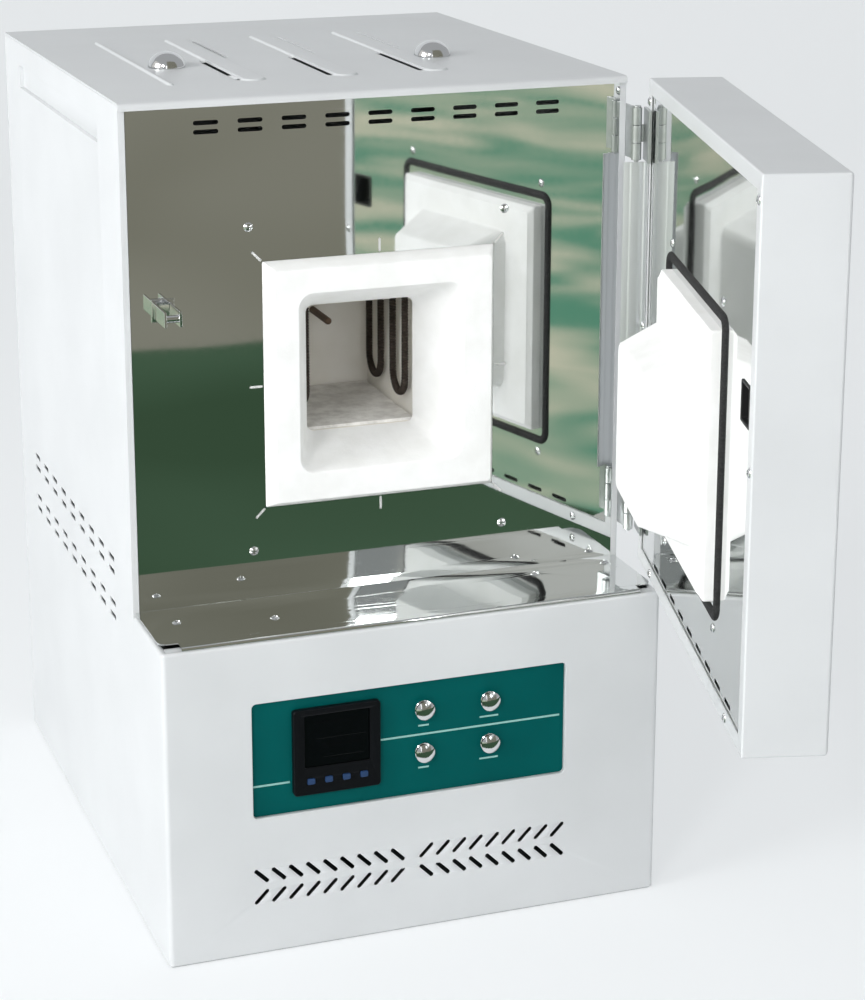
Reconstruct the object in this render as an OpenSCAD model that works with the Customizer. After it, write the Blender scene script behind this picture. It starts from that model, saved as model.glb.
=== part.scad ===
// Muffle furnace with a console and a side-hung door. Millimetres, +Z up, +X to the right,
// +Y to the back. The origin is the middle of the base, on the surface that it stands on.

/* [Cabinet] */
// Width of the cabinet
cab_w = 416; // [412:1:450]
// Depth of the cabinet behind its front plate
cab_d = 436; // [430:1:480]
// Height of the cabinet
cab_h = 670; // [666:1:700]
// Height of the console's shelf above the base
shelf_h = 266; // [262:1:270]
// How far the console stands out from the front plate
console_p = 88; // [84:1:96]
// Radius of the console's upright corners
console_r = 4; // [2:1:24]
// Thickness of the cabinet's sheet
sheet = 1.5; // [1.2:0.1:1.8]
// Height of the base pan's upstand
pan_h = 25; // [20:1:30]
// Width of the folds that close an edge
fold = 15; // [12:1:18]
// Gap of the panels above the surface
panel_lift = 1.5; // [1:0.5:3]
// Gap between neighbouring panels
seam = 0.2; // [0.1:0.05:0.3]

/* [Front plate and top cover] */
// Width of the painted strip at each side of the front plate
strip_w = 5.5; // [4:0.5:8]
// Drop of the top cover's front fold
top_drop = 6; // [4:0.5:8]
// Overhang of the top cover's front fold
top_over = 2.5; // [2:0.5:4]
// Length of a vent slot in the front plate
vent_l = 19.8; // [14:0.2:24]
// Height of a vent slot in the front plate
vent_h = 3.5; // [2.5:0.1:4]
// Pitch of the front plate's vent slots
vent_pitch = 35; // [30:1:40]
// Number of vent slots in a row of the front plate
vent_n = 9; // [5:2:9]
// Length of a punched slot in the top cover
top_slot_l = 118; // [80:1:124]
// Width of a punched slot in the top cover
top_slot_w = 5.5; // [3:0.5:6]
// Length of the raised beads in the top cover
bead_l = 260; // [200:5:280]
// Width of a raised bead
bead_w = 21.5; // [16:0.5:24]
// Width of the narrow rib at the left
rib_w = 6; // [4:0.5:8]
// Pitch of the beads
bead_pitch = 77; // [70:1:84]
// Diameter of the top cover's dome nuts
dome_d = 31; // [24:1:36]
// Height of the dome nuts
dome_h = 13; // [8:0.5:15]

/* [Side panels] */
// Length of the long recess in a side panel
recess_l = 303; // [240:1:320]
// Height of that recess
recess_z = 19.5; // [14:0.5:22]
// Depth of that recess
recess_in = 4; // [3:0.5:6]
// Length of a vent slot in a side panel
side_slot_l = 20; // [14:1:24]
// Height of a vent slot in a side panel
side_slot_h = 4; // [3:0.5:5]
// Pitch of the side panel's vent slots
side_pitch = 36.5; // [32:0.5:40]
// Number of vent slots in a row of a side panel
side_n = 9; // [5:2:9]

/* [Muffle] */
// Width of the chamber
chamber_w = 98; // [94:1:104]
// Height of the chamber
chamber_h = 105; // [100:1:110]
// Depth of the chamber behind the funnel
chamber_d = 125; // [110:1:150]
// Distance of the chamber's middle below the middle of the bay over the console's shelf
chamber_drop = 28.5; // [26:0.5:31]
// Sideways place of the muffle
muffle_x = -3.2; // [-6:0.1:0]
// Thickness of the chamber's fibre boards
board_t = 50; // [40:1:54]
// Thickness of the blanket around the boards
blanket_t = 43; // [34:1:46]
// Height of the channels that carry the muffle
support_h = 28; // [26:1:30]
// Room for the heater terminals under the top cover
heater_room = 85; // [80:1:90]
// Thickness of the steel shell around the blanket
liner_t = 1.2; // [1:0.1:1.5]
// Thickness of the hearth slab
hearth_t = 2.8; // [2:0.2:4]
// Width of the collar at the front plate
collar_w = 192.5; // [190:0.5:196]
// Height of the collar at the front plate
collar_h = 199.5; // [197:0.5:203]
// How far the collar stands out
collar_p = 12; // [9:0.5:13]
// Slope of the collar's edge
collar_in = 6; // [3:0.5:8]
// Width of the mouth
mouth_w = 136; // [134:1:140]
// Height of the mouth
mouth_h = 145; // [143:1:149]
// Corner radius of the mouth
mouth_r = 12; // [8:1:15]
// Width of the funnel where it meets the chamber
throat_w = 91; // [88:1:93]
// Depth of the funnel behind the front plate
funnel_d = 45; // [40:1:50]
// Gap between the fibre pieces
fibre_gap = 0.2; // [0.1:0.05:0.3]

/* [Heaters and thermocouple] */
// Diameter of a heater leg
heater_d = 6.5; // [5:0.5:8]
// Half the distance between the two legs of a hairpin
hairpin_r = 15; // [13:0.5:17]
// Distance between the two hairpins of one side
hairpin_pitch = 60.5; // [58:0.5:64]
// Distance of the front hairpin's middle behind the funnel
hairpin_in = 25; // [24:0.5:28]
// Distance of a heater leg from the chamber wall
heater_wall = 3.2; // [2:0.1:4]
// Height of the hairpins' lowest point above the chamber's floor
heater_up = 16; // [10:1:24]
// Clearance around a heater leg
heater_clear = 0.3; // [0.2:0.05:0.6]
// Diameter of the thermocouple sheath
sheath_d = 6; // [5:0.5:8]
// Length of the sheath inside the chamber
sheath_in = 45; // [30:1:60]
// Height of the sheath above the chamber's floor
sheath_up = 69; // [60:1:76]

/* [Door] */
// Width of the door
door_w = 413; // [410:0.5:414]
// Thickness of the door
door_t = 60; // [56:1:62]
// Gap below the door
door_gap = 4; // [3:0.5:6]
// Gap between the door's hinge side and the cabinet's side plane
door_side = 1.4; // [1:0.1:2]
// Angle at which the door stands open
door_open = 75; // [60:1:100]
// Width of the door's rim
rim_w = 12; // [10:0.5:14]
// Width of the gasket's outer edge
gasket_w = 220; // [218:1:226]
// Height of the gasket's outer edge
gasket_h = 225; // [223:1:230]
// Width of the gasket's band
gasket_band = 7; // [6:0.5:9]
// Gap between the gasket and the plug's base
plug_gap = 6; // [4:0.5:7]
// Thickness of the gasket
gasket_t = 2.5; // [2:0.1:3]
// How far the plug's base stands out of the rim's plane
plug_p = 10; // [8:0.5:11]
// Length of the plug's nose
nose_l = 37; // [30:1:38]
// Side clearance between the nose and the funnel
nose_gap = 4.5; // [4:0.1:6]

/* [Hinges] */
// Distance of the hinge axis outside the cabinet's side
axis_out = 1; // [0.5:0.1:1.5]
// Distance of the hinge axis in front of the front plate
axis_front = 19.5; // [19:0.1:20]
// Diameter of the hinge barrel
barrel_d = 8; // [7.5:0.1:8.5]
// Diameter of the hinge pin
pin_d = 4; // [3:0.1:5]
// Radial running clearance of the pin
pin_clear = 0.05; // [0.03:0.01:0.08]
// Height of a hinge
hinge_h = 42; // [36:1:50]
// Distance of a hinge from the top of the cabinet and above the shelf
hinge_edge = 50; // [40:1:60]
// Thickness of the hinge leaves
leaf_t = 2.5; // [2:0.1:2.8]
// Length of the hinge leaves
leaf_l = 18; // [14:0.5:24]

/* [Catch and pull] */
// Width of the latch socket's opening
socket_w = 22; // [20:0.5:30]
// Height of the latch socket's opening
socket_h = 25; // [20:1:42]
// Depth of the latch socket
socket_d = 25; // [20:1:30]
// Distance of the socket's middle from the door's free side
socket_in = 29; // [27:0.5:32]
// Height of the socket's middle above the shelf
socket_z = 245; // [230:1:260]
// How far the catch reaches into the socket
catch_in = 5; // [3:0.5:8]
// Diameter of the catch's roller
roller_d = 6; // [5:0.5:8]
// Width of the pull cup
pull_w = 38; // [34:1:44]
// Height of the pull cup
pull_h = 110; // [90:1:130]
// Depth of the pull cup
pull_d = 24; // [20:1:28]

/* [Console] */
// Width of the fascia's opening
fascia_w = 263; // [261:1:270]
// Height of the fascia's opening
fascia_h = 96; // [94:1:104]
// Sideways place of the fascia
fascia_x = -6; // [-10:1:0]
// Height of the fascia's middle as a share of the shelf's height
fascia_share = 0.618; // [0.61:0.002:0.63]
// Corner radius of the fascia's opening
fascia_r = 3.5; // [2:0.5:6]
// Depth of the fascia behind the console's face
fascia_in = 4; // [3:0.5:5]
// Size of the controller's square bezel
meter = 72; // [71:0.5:74]
// Depth of the controller's case
case_d = 72; // [60:1:74]
// Diameter of a push button
button_d = 16; // [14:0.5:18]
// Travel of a push button
button_travel = 2.5; // [1.5:0.5:3]
// Distance between the columns of push buttons
button_dx = 55.8; // [50:0.2:60]
// Distance between the rows of push buttons
button_dz = 36.4; // [32:0.2:40]
// Pitch of the controller's keys
key_pitch = 14.6; // [14:0.1:15]
// Travel of a controller key
key_travel = 0.5; // [0.3:0.1:0.6]
// Length of a chevron slot
chevron_l = 15.5; // [12:0.5:18]
// Width of a chevron slot
chevron_w = 3; // [2:0.5:4]
// Pitch of the chevron slots
chevron_pitch = 14.2; // [13:0.1:15]
// Number of chevrons in each half of the console
chevron_n = 9; // [5:1:9]

/* [Fasteners] */
// Diameter of the screws
screw_d = 4; // [3:0.5:5]
// Diameter of the screw heads
head_d = 7.5; // [6:0.5:9]
// Height of the screw heads
head_h = 1.8; // [1.4:0.1:2.2]
// Radial clearance of a screw in its hole
screw_clear = 0.2; // [0.1:0.05:0.3]

/* [Hidden] */

$fn = 48;
eps = 0.01;
past = 1;

// Planes of the cabinet
side_x = cab_w / 2;
back_y = (cab_d + console_p) / 2;
front_y = back_y - cab_d;
console_y = -back_y;
plate_back = front_y + sheet;
inner_x = side_x - sheet - seam;
plate_top = cab_h - top_drop;
plate_low = shelf_h - 10;
fold_low = pan_h + 3;
fold_high = cab_h - 22;
pan_t = 2;

// Vents and screws of the front plate
vent_rows = [cab_h - 18, cab_h - 25];
plate_screw_x = [-108, 104];
screw_low = 40;
screw_high = 101;
plate_screw_z = [shelf_h + screw_low, cab_h - screw_high];

// Top cover
bead_h = 1.5;
bead_mid = -1;
bead_x = [bead_mid - bead_pitch, bead_mid, bead_mid + bead_pitch];
bead_end = 73;
bead_y = front_y + bead_end + bead_l / 2;
rib_x = -147;
slot_off = bead_w / 2;
top_slots = [[slot_off, front_y + 269], [-slot_off, front_y + 135]];
dome_front = 13;
dome_y = front_y + 173;
dome_spots = [[-125.3, dome_y], [101.5, dome_y - dome_front]];

// Side panels
side_slot_rows = [shelf_h + 24, shelf_h + 12.7, shelf_h - 15, shelf_h - 26.4];
side_slot_mid = 217.5;
side_slot_y = front_y + side_slot_mid;
recess_edge = 71;
recess_drop = 41;
recess_y = front_y + recess_edge;
recess_low = cab_h - recess_drop;

// Muffle
chamber_z = shelf_h + (cab_h - shelf_h - chamber_h) / 2 - chamber_drop;
fibre_front = plate_back + 2 * liner_t;
funnel_y = front_y + funnel_d;
chamber_y = funnel_y + chamber_d;
board_y = chamber_y + board_t;
blanket_y = board_y + blanket_t;
board_x = chamber_w / 2 + board_t;
blanket_x = board_x + blanket_t;
roof_z = chamber_z + chamber_h;
board_low = chamber_z - board_t;
board_high = roof_z + board_t;
blanket_low = shelf_h + support_h;
blanket_high = cab_h - heater_room;
collar_x = muffle_x + 2;
mouth_z = chamber_z + 55.5;
collar_z = chamber_z + 54.2;
slit_l = 12;
slit_w = 2;
shell_fold = 30;
support_w = 30;
support_x = 90;

// Heaters
heater_x = chamber_w / 2 - heater_wall - heater_d / 2;
bend_z = chamber_z + heater_up + hairpin_r + heater_d / 2;
heater_top = blanket_high + liner_t + 26;
bush_d = 18;
bush_h = 12;
strap_h = 6;
sheath_z = chamber_z + sheath_up;
head_l = 34;

// Door, closed: its rim plane, outer face, sides and height
rim_y = console_y + door_t;
door_right = side_x - door_side;
door_left = door_right - door_w;
door_low = shelf_h + door_gap;
door_high = cab_h + 1;
liner_y = rim_y - sheet;
gasket_x = muffle_x + 4.8;
liner_lap = 3;
gasket_r = 12;
liner_slot_up = 17;
liner_slot_mid = -11;
plug_y = rim_y + plug_p;
nose_y = plug_y + nose_l;
nose_in = (nose_y - front_y + collar_p) / (funnel_d + collar_p);
nose_root = (plug_y - front_y + collar_p) / (funnel_d + collar_p);

// Hinges
axis_x = side_x + axis_out;
axis_y = front_y - axis_front;
hinge_zs = [shelf_h + hinge_edge, cab_h - hinge_edge + 6];
knuckle_h = hinge_h / 3;
knuckle_gap = 0.3;
pin_head_d = 6.4;
pin_head_h = 1.6;
strip_foot = 11;
strip_out = 19;
strip_step = 1.2;
strip_bead = 9;
frame_leaf_in = 16;
rim_screw_top = 18;
foot_screw_x = 150;
gasket_screw_x = 96;
gasket_screw_z = 7;

// Catch, socket and pull
socket_x = door_left + socket_in;
socket_mid = shelf_h + socket_z;
socket_wall = 1.5;
socket_rim = min(socket_in - rim_w - socket_w / 2 - seam, socket_wall + 0.6);
catch_tip = rim_y - catch_in;
catch_base = 18;
catch_drop = 2;
catch_arm = 2;
pull_in = 44;
pull_x = door_left + pull_in;
pull_z = (door_low + door_high) / 2;
pull_rim = 5;

// Console
console_lip = 5;
console_top = shelf_h - 2 * sheet - 2 * seam;
shelf_side = 2;
shelf_r = 8;
shelf_x = side_x - shelf_side;
shelf_y = console_y + 13;
tongue_side = 17;
tongue_x = side_x - tongue_side;
tongue_y = console_y + 2;
deck_top = shelf_h - sheet - seam;
deck_x = side_x - sheet - console_lip - seam;
shelf_spots = [[-181, front_y - 32], [-106, front_y - 48], [125, front_y - 22], [190, front_y - 16]];
fascia_z = shelf_h * fascia_share;
fascia_rim = 8;
fascia_face = console_y + fascia_in;
fascia_back = fascia_face + sheet;
meter_x = fascia_x - 62.5;
meter_z = fascia_z + 2.1;
meter_p = 5;
meter_cut = meter - 4;
case_w = meter_cut - 1;
window_w = 54;
window_h = 44;
window_up = 9;
key_w = 6.4;
key_h = 5;
key_z = meter_z - 24.4;
key_gap = 0.3;
key_p = 1;
button_x = fascia_x + 11;
button_z = fascia_z + 23.6;
button_p = 6;
stem_d = 8;
body_d = 12;
body_l = 24;
collar_d = 15;
collar_t = 1.5;
chevron_share = 0.219;
chevron_z = shelf_h * chevron_share;
chevron_dz = 8.9;
chevron_x = 69;

// A block between two opposite corners
module block(low, high) {
    translate(low)
        cube(high - low);
}

// A straight bar with round ends along X, centred, with its depth along Y
module slot(len, high, depth) {
    cube([len - high, depth, high], center = true);
    for (s = [-1, 1])
        translate([s * (len - high) / 2, 0, 0])
            rotate([90, 0, 0])
                cylinder(d = high, h = depth, center = true);
}

// Lays a slot down so that it runs along Y, with its depth along Z
module along(x, y, z) {
    translate([x, y, z])
        rotate([0, 0, 90])
            rotate([90, 0, 0])
                children();
}

// A rectangle in the XZ plane with round corners, from one depth to another
module rounded(x, z, w, h, r, y0, y1) {
    block([x - w / 2 + r, y0, z - h / 2], [x + w / 2 - r, y1, z + h / 2]);
    block([x - w / 2, y0, z - h / 2 + r], [x + w / 2, y1, z + h / 2 - r]);
    for (sx = [-1, 1], sz = [-1, 1])
        translate([x + sx * (w / 2 - r), y0, z + sz * (h / 2 - r)])
            rotate([-90, 0, 0])
                cylinder(r = r, h = y1 - y0);
}

// A cylinder along Y from one depth to another
module rod_y(x, z, d, y0, y1) {
    translate([x, y0, z])
        rotate([-90, 0, 0])
            cylinder(d = d, h = y1 - y0);
}

// A cylinder along Z from one height to another
module rod_z(x, y, d, z0, z1) {
    translate([x, y, z0])
        cylinder(d = d, h = z1 - z0);
}

// The base's outline with its round front corners, set in from the panels
module footprint(inset, rear, z0, z1) {
    r = max(console_r, inset + sheet);
    block([-side_x + inset, console_y + r, z0], [side_x - inset, rear, z1]);
    block([-side_x + r, console_y + inset, z0], [side_x - r, rear, z1]);
    for (s = [-1, 1])
        rod_z(s * (side_x - r), console_y + r, 2 * (r - inset), z0, z1);
}

// Base and panels

module base_pan() {
    color("silver") {
        inset = sheet + seam;
        rear = back_y - inset;
        difference() {
            footprint(inset, rear, 0, pan_h);
            footprint(inset + pan_t, rear - pan_t, pan_t, pan_h + past);
        }
    }
}

// The left side panel: wall, joggled front fold, rear fold, slots and the long recess
module side_panel() {
    difference() {
        union() {
            block([-side_x, front_y, panel_lift], [-side_x + sheet, back_y, cab_h - sheet - seam]);
            block([-side_x, front_y, fold_low],
                [-side_x + strip_w - seam, front_y + sheet, plate_top + sheet]);
            block([-side_x + strip_w - seam - sheet, front_y + sheet - eps, fold_low],
                [-side_x + strip_w - seam, front_y + sheet + seam, plate_top]);
            block([-side_x + strip_w - seam - sheet, front_y + sheet + seam - eps, fold_low],
                [-side_x + fold, front_y + 2 * sheet + seam, plate_top]);
            block([-side_x + sheet - eps, back_y - 2 * sheet - seam, fold_low],
                [-side_x + fold, back_y - sheet - seam, fold_high]);
            block([-side_x + sheet - eps, recess_y - sheet, recess_low - sheet],
                [-side_x + recess_in + sheet, recess_y + recess_l + sheet,
                 recess_low + recess_z + sheet]);
        }
        block([-side_x - past, recess_y, recess_low],
            [-side_x + recess_in, recess_y + recess_l, recess_low + recess_z]);
        for (z = side_slot_rows, i = [0 : side_n - 1])
            translate([-side_x, side_slot_y + (i - (side_n - 1) / 2) * side_pitch, z])
                rotate([0, 0, 90])
                    slot(side_slot_l, side_slot_h, 3 * sheet);
        for (z = [fold_low + fold, fold_high - fold])
            rod_y(-side_x + fold / 2, z, screw_d + 2 * screw_clear, back_y - 3 * sheet, back_y);
    }
}

module left_side_panel() {
    color("whitesmoke")
        side_panel();
}

module right_side_panel() {
    color("whitesmoke")
        mirror([1, 0, 0])
            side_panel();
}

module top_cover() {
    color("gainsboro")
        difference() {
            union() {
                block([-side_x, front_y - top_over, cab_h - sheet], [side_x, back_y, cab_h]);
                block([-side_x, front_y - top_over, plate_top], [side_x, front_y - top_over + sheet, cab_h]);
                for (s = [-1, 1])
                    block([s > 0 ? inner_x - sheet : -inner_x, front_y + fold, cab_h - fold],
                        [s > 0 ? inner_x : -inner_x + sheet, back_y - fold, cab_h - sheet + eps]);
                block([-inner_x + fold, back_y - 2 * sheet - 2 * seam, cab_h - fold],
                    [inner_x - fold, back_y - sheet - 2 * seam, cab_h - sheet + eps]);
                for (x = bead_x)
                    along(x, bead_y, cab_h)
                        slot(bead_l, bead_w, 2 * bead_h);
                along(rib_x, bead_y, cab_h)
                    slot(bead_l, rib_w, 2 * bead_h);
            }
            for (x = bead_x)
                along(x, bead_y, cab_h - sheet)
                    slot(bead_l - 2 * sheet, bead_w - 2 * sheet, 2 * bead_h);
            along(rib_x, bead_y, cab_h - sheet)
                slot(bead_l - 2 * sheet, rib_w - 2 * sheet, 2 * bead_h);
            for (spot = top_slots, i = [-1 : 1])
                along(bead_mid + i * bead_pitch + spot[0], spot[1], cab_h)
                    slot(top_slot_l, top_slot_w, 4 * sheet);
            for (spot = dome_spots)
                rod_z(spot[0], spot[1], screw_d + 2 * screw_clear, cab_h - 2 * sheet, cab_h + past);
        }
}

module rear_cover() {
    color("whitesmoke")
        difference() {
            block([-inner_x, back_y - sheet, panel_lift], [inner_x, back_y, cab_h - sheet - seam]);
            for (row = [0 : 2], i = [0 : side_n - 1])
                translate([(i - (side_n - 1) / 2) * side_pitch, back_y,
                    fold_high - 2 * fold - row * 3 * side_slot_h])
                    slot(side_slot_l, side_slot_h, 3 * sheet);
            for (s = [-1, 1], z = [fold_low + fold, fold_high - fold])
                rod_y(s * (side_x - fold / 2), z, screw_d + 2 * screw_clear, back_y - 2 * sheet, back_y + past);
            rod_y(gland_x, gland_z, gland_d + 2 * screw_clear, back_y - 2 * sheet, back_y + past);
        }
}

module front_plate() {
    color("lightsteelblue")
        difference() {
            block([-side_x + strip_w, front_y, plate_low], [side_x - strip_w, plate_back, plate_top]);
            block([collar_x - collar_w / 2 - seam, front_y - past, collar_z - collar_h / 2 - seam],
                [collar_x + collar_w / 2 + seam, plate_back + past, collar_z + collar_h / 2 + seam]);
            for (z = vent_rows, i = [0 : vent_n - 1])
                translate([(i - (vent_n - 1) / 2) * vent_pitch, front_y, z])
                    slot(vent_l, vent_h, 3 * sheet);
            for (sx = [-1, 1], sz = [-1, 1])
                translate([collar_x + sx * collar_w / 2, front_y, collar_z + sz * collar_h / 2])
                    rotate([0, -sx * sz * 45, 0])
                        slot(2 * slit_l, slit_w, 3 * sheet);
            for (s = [-1, 1]) {
                translate([collar_x + s * collar_w / 2, front_y, collar_z])
                    slot(2 * slit_l, slit_w, 3 * sheet);
                translate([collar_x, front_y, collar_z + s * collar_h / 2])
                    rotate([0, 90, 0])
                        slot(2 * slit_l, slit_w, 3 * sheet);
            }
            for (x = plate_screw_x, z = plate_screw_z)
                rod_y(x, z, screw_d + 2 * screw_clear, front_y - past, plate_back + past);
        }
}

module divider_shelf() {
    color("silver") {
        y = front_y + 2 * sheet + 3 * seam;
        rear = back_y - 2 * sheet - 3 * seam;
        block([-inner_x, y, shelf_h - sheet], [inner_x, rear, shelf_h]);
        block([-inner_x + fold, y, shelf_h - fold], [inner_x - fold, y + sheet, shelf_h - sheet + eps]);
        for (s = [-1, 1])
            block([s > 0 ? inner_x - sheet : -inner_x, y, shelf_h - fold],
                [s > 0 ? inner_x : -inner_x + sheet, rear, shelf_h - sheet + eps]);
    }
}

// Console

module console_panel() {
    color("whitesmoke")
        difference() {
            footprint(0, front_y - seam, panel_lift, console_top);
            footprint(sheet, front_y + past, panel_lift - past, console_top - sheet);
            difference() {
                footprint(console_lip, front_y + past, console_top - 2 * sheet, console_top + past);
                for (s = [-1, 1])
                    block([s > 0 ? tongue_x - seam : -side_x, console_y, console_top - sheet],
                        [s > 0 ? side_x : -tongue_x + seam, shelf_y, console_top + 2 * past]);
            }
            rounded(fascia_x, fascia_z, fascia_w, fascia_h, fascia_r, console_y - past, console_y + 2 * sheet);
            for (side = [-1, 1], i = [0 : chevron_n - 1], row = [-1, 1])
                translate([fascia_x + side * (chevron_x + (i - (chevron_n - 1) / 2) * chevron_pitch),
                    console_y, chevron_z + row * chevron_dz])
                    rotate([0, -side * row * 45, 0])
                        slot(chevron_l, chevron_w, 3 * sheet);
        }
}

// The shelf's top sheet, narrower in front of its round corners, with a fold down along its front
module console_shelf() {
    color("lightsteelblue")
        difference() {
            union() {
                block([-shelf_x, shelf_y + shelf_r, shelf_h - sheet], [shelf_x, front_y - seam, shelf_h]);
                block([-shelf_x + shelf_r, shelf_y, shelf_h - sheet],
                    [shelf_x - shelf_r, front_y - seam, shelf_h]);
                for (s = [-1, 1])
                    rod_z(s * (shelf_x - shelf_r), shelf_y + shelf_r, 2 * shelf_r, shelf_h - sheet, shelf_h);
                block([-tongue_x, tongue_y, shelf_h - sheet], [tongue_x, shelf_y + shelf_r, shelf_h]);
                block([-tongue_x, tongue_y, console_top + seam], [tongue_x, tongue_y + sheet, shelf_h]);
            }
            for (spot = shelf_spots)
                rod_z(spot[0], spot[1], screw_d + 2 * screw_clear, shelf_h - 2 * sheet, shelf_h + past);
        }
}

// The deck under the shelf lies on the console's lip, with a fold down at each side
module shelf_deck() {
    color("silver")
        difference() {
            union() {
                block([-tongue_x + sheet, tongue_y + sheet + seam, deck_top - sheet],
                    [tongue_x - sheet, front_y - seam, deck_top]);
                block([-shelf_x + sheet, shelf_y + shelf_r, deck_top - sheet],
                    [shelf_x - sheet, front_y - seam, deck_top]);
                for (s = [-1, 1])
                    block([s > 0 ? deck_x - sheet : -deck_x, shelf_y + shelf_r, deck_top - fold],
                        [s > 0 ? deck_x : -deck_x + sheet, front_y - seam, deck_top - sheet + eps]);
            }
            for (spot = shelf_spots)
                rod_z(spot[0], spot[1], screw_d + 2 * screw_clear, deck_top - 2 * sheet, deck_top + past);
        }
}

module control_fascia() {
    color("teal")
        difference() {
            block([fascia_x - fascia_w / 2 - fascia_rim, console_y + sheet,
                fascia_z - fascia_h / 2 - fascia_rim],
                [fascia_x + fascia_w / 2 + fascia_rim, fascia_back, fascia_z + fascia_h / 2 + fascia_rim]);
            rounded(fascia_x, fascia_z, fascia_w, fascia_h, fascia_r, console_y, fascia_face);
            rounded(meter_x, meter_z, meter_cut, meter_cut, 2, fascia_face - past, fascia_back + past);
            for (i = [0 : 3])
                button_at(i)
                    rod_y(0, 0, body_d + 2 * screw_clear, fascia_face - past, fascia_back + past);
        }
}

module controller_bezel() {
    color("dimgray")
        difference() {
            rounded(meter_x, meter_z, meter, meter, 3, fascia_face - meter_p, fascia_face);
            block([meter_x - window_w / 2, fascia_face - meter_p - past, meter_z + window_up - window_h / 2],
                [meter_x + window_w / 2, fascia_face + past, meter_z + window_up + window_h / 2]);
            for (i = [0 : 3])
                block([key_x(i) - key_w / 2 - key_gap, fascia_face - meter_p - past,
                    key_z - key_h / 2 - key_gap],
                    [key_x(i) + key_w / 2 + key_gap, fascia_face + past, key_z + key_h / 2 + key_gap]);
        }
}

module controller_window() {
    color("black")
        block([meter_x - window_w / 2 + seam, fascia_face - meter_p + past,
            meter_z + window_up - window_h / 2 + seam],
            [meter_x + window_w / 2 - seam, fascia_face, meter_z + window_up + window_h / 2 - seam]);
}

module controller_case() {
    color("darkslategray") {
        rounded(meter_x, meter_z, case_w, case_w, 2, fascia_face + key_travel + seam, fascia_face + case_d);
        for (s = [-1, 1])
            block([meter_x + s * case_w / 2 - fascia_rim / 2, fascia_back, meter_z - fascia_rim],
                [meter_x + s * case_w / 2 + fascia_rim / 2, fascia_back + fascia_rim, meter_z + fascia_rim]);
    }
}

// Place of a controller key along X
function key_x(i) = meter_x + (i - 1.5) * key_pitch;

module controller_key(i) {
    color("royalblue")
        block([key_x(i) - key_w / 2, fascia_face - meter_p - key_p, key_z - key_h / 2],
            [key_x(i) + key_w / 2, fascia_face - seam, key_z + key_h / 2]);
}

// Moves a button's pieces to its place on the fascia
module button_at(i) {
    translate([button_x + (i % 2) * button_dx, 0, button_z - floor(i / 2) * button_dz])
        children();
}

// Sleeve, flange, nut and switch behind each push button
module button_bodies() {
    color("dimgray")
        for (i = [0 : 3])
            button_at(i)
                difference() {
                    union() {
                        rod_y(0, 0, collar_d, fascia_face - collar_t, fascia_face);
                        rod_y(0, 0, body_d, fascia_face - collar_t, fascia_face + body_l);
                        rod_y(0, 0, collar_d + 2, fascia_back, fascia_back + 2 * collar_t);
                    }
                    rod_y(0, 0, stem_d + 2 * pin_clear, fascia_face - 2 * collar_t,
                        fascia_face + body_l - 2 * collar_t);
                }
}

module push_button(i) {
    rest = button_travel + 0.5;
    dome = button_d * 0.72;
    color("lightgray")
        button_at(i)
            translate([0, fascia_face - collar_t - rest, 0]) {
                rod_y(0, 0, stem_d, -eps, body_l - 2 * collar_t - past);
                rotate([90, 0, 0])
                    intersection() {
                        translate([0, 0, -sqrt(dome * dome - button_d * button_d / 4)])
                            sphere(r = dome);
                        cylinder(d = button_d, h = button_p);
                    }
            }
}

// Muffle

// A thin rectangle with round corners, for the ends of a fibre taper
module taper_end(x, z, w, h, r, y) {
    for (sx = [-1, 1], sz = [-1, 1])
        translate([x + sx * (w / 2 - r), y, z + sz * (h / 2 - r)])
            rotate([90, 0, 0])
                cylinder(r = r, h = eps, center = true, $fn = 32);
}

module muffle_collar() {
    color("white")
        difference() {
            union() {
                block([collar_x - collar_w / 2, front_y, collar_z - collar_h / 2],
                    [collar_x + collar_w / 2, funnel_y, collar_z + collar_h / 2]);
                hull() {
                    block([collar_x - collar_w / 2, front_y, collar_z - collar_h / 2],
                        [collar_x + collar_w / 2, front_y + eps, collar_z + collar_h / 2]);
                    block([collar_x - collar_w / 2 + collar_in, front_y - collar_p,
                        collar_z - collar_h / 2 + collar_in],
                        [collar_x + collar_w / 2 - collar_in, front_y, collar_z + collar_h / 2 - collar_in]);
                }
            }
            hull() {
                taper_end(muffle_x, mouth_z, mouth_w, mouth_h, mouth_r, front_y - collar_p);
                taper_end(muffle_x, chamber_z + chamber_h / 2, throat_w, chamber_h, mouth_r / 2, funnel_y + eps);
            }
        }
}

module hearth_slab() {
    color("gray")
        block([muffle_x - chamber_w / 2 + 2, funnel_y + 2, chamber_z],
            [muffle_x + chamber_w / 2 - 2, chamber_y - 2, chamber_z + hearth_t]);
}

module chamber_floor() {
    color("white")
        block([muffle_x - board_x, funnel_y + fibre_gap, board_low],
            [muffle_x + board_x, board_y, chamber_z]);
}

module chamber_wall(side) {
    color("white")
        translate([muffle_x + side * (chamber_w + board_t) / 2, 0, 0])
            block([-board_t / 2, funnel_y + fibre_gap, chamber_z + fibre_gap],
                [board_t / 2, chamber_y, roof_z - fibre_gap]);
}

module chamber_left_wall() {
    chamber_wall(-1);
}

module chamber_right_wall() {
    chamber_wall(1);
}

module chamber_roof() {
    color("white")
        difference() {
            block([muffle_x - board_x, funnel_y + fibre_gap, roof_z],
                [muffle_x + board_x, board_y, board_high]);
            heater_legs(heater_d + 2 * heater_clear, roof_z - past, board_high + past);
        }
}

module chamber_back() {
    color("white")
        difference() {
            block([muffle_x - board_x, chamber_y + fibre_gap, chamber_z + fibre_gap],
                [muffle_x + board_x, board_y, roof_z - fibre_gap]);
            rod_y(muffle_x, sheath_z, sheath_d + 2 * heater_clear, chamber_y - past, board_y + past);
        }
}

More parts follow.
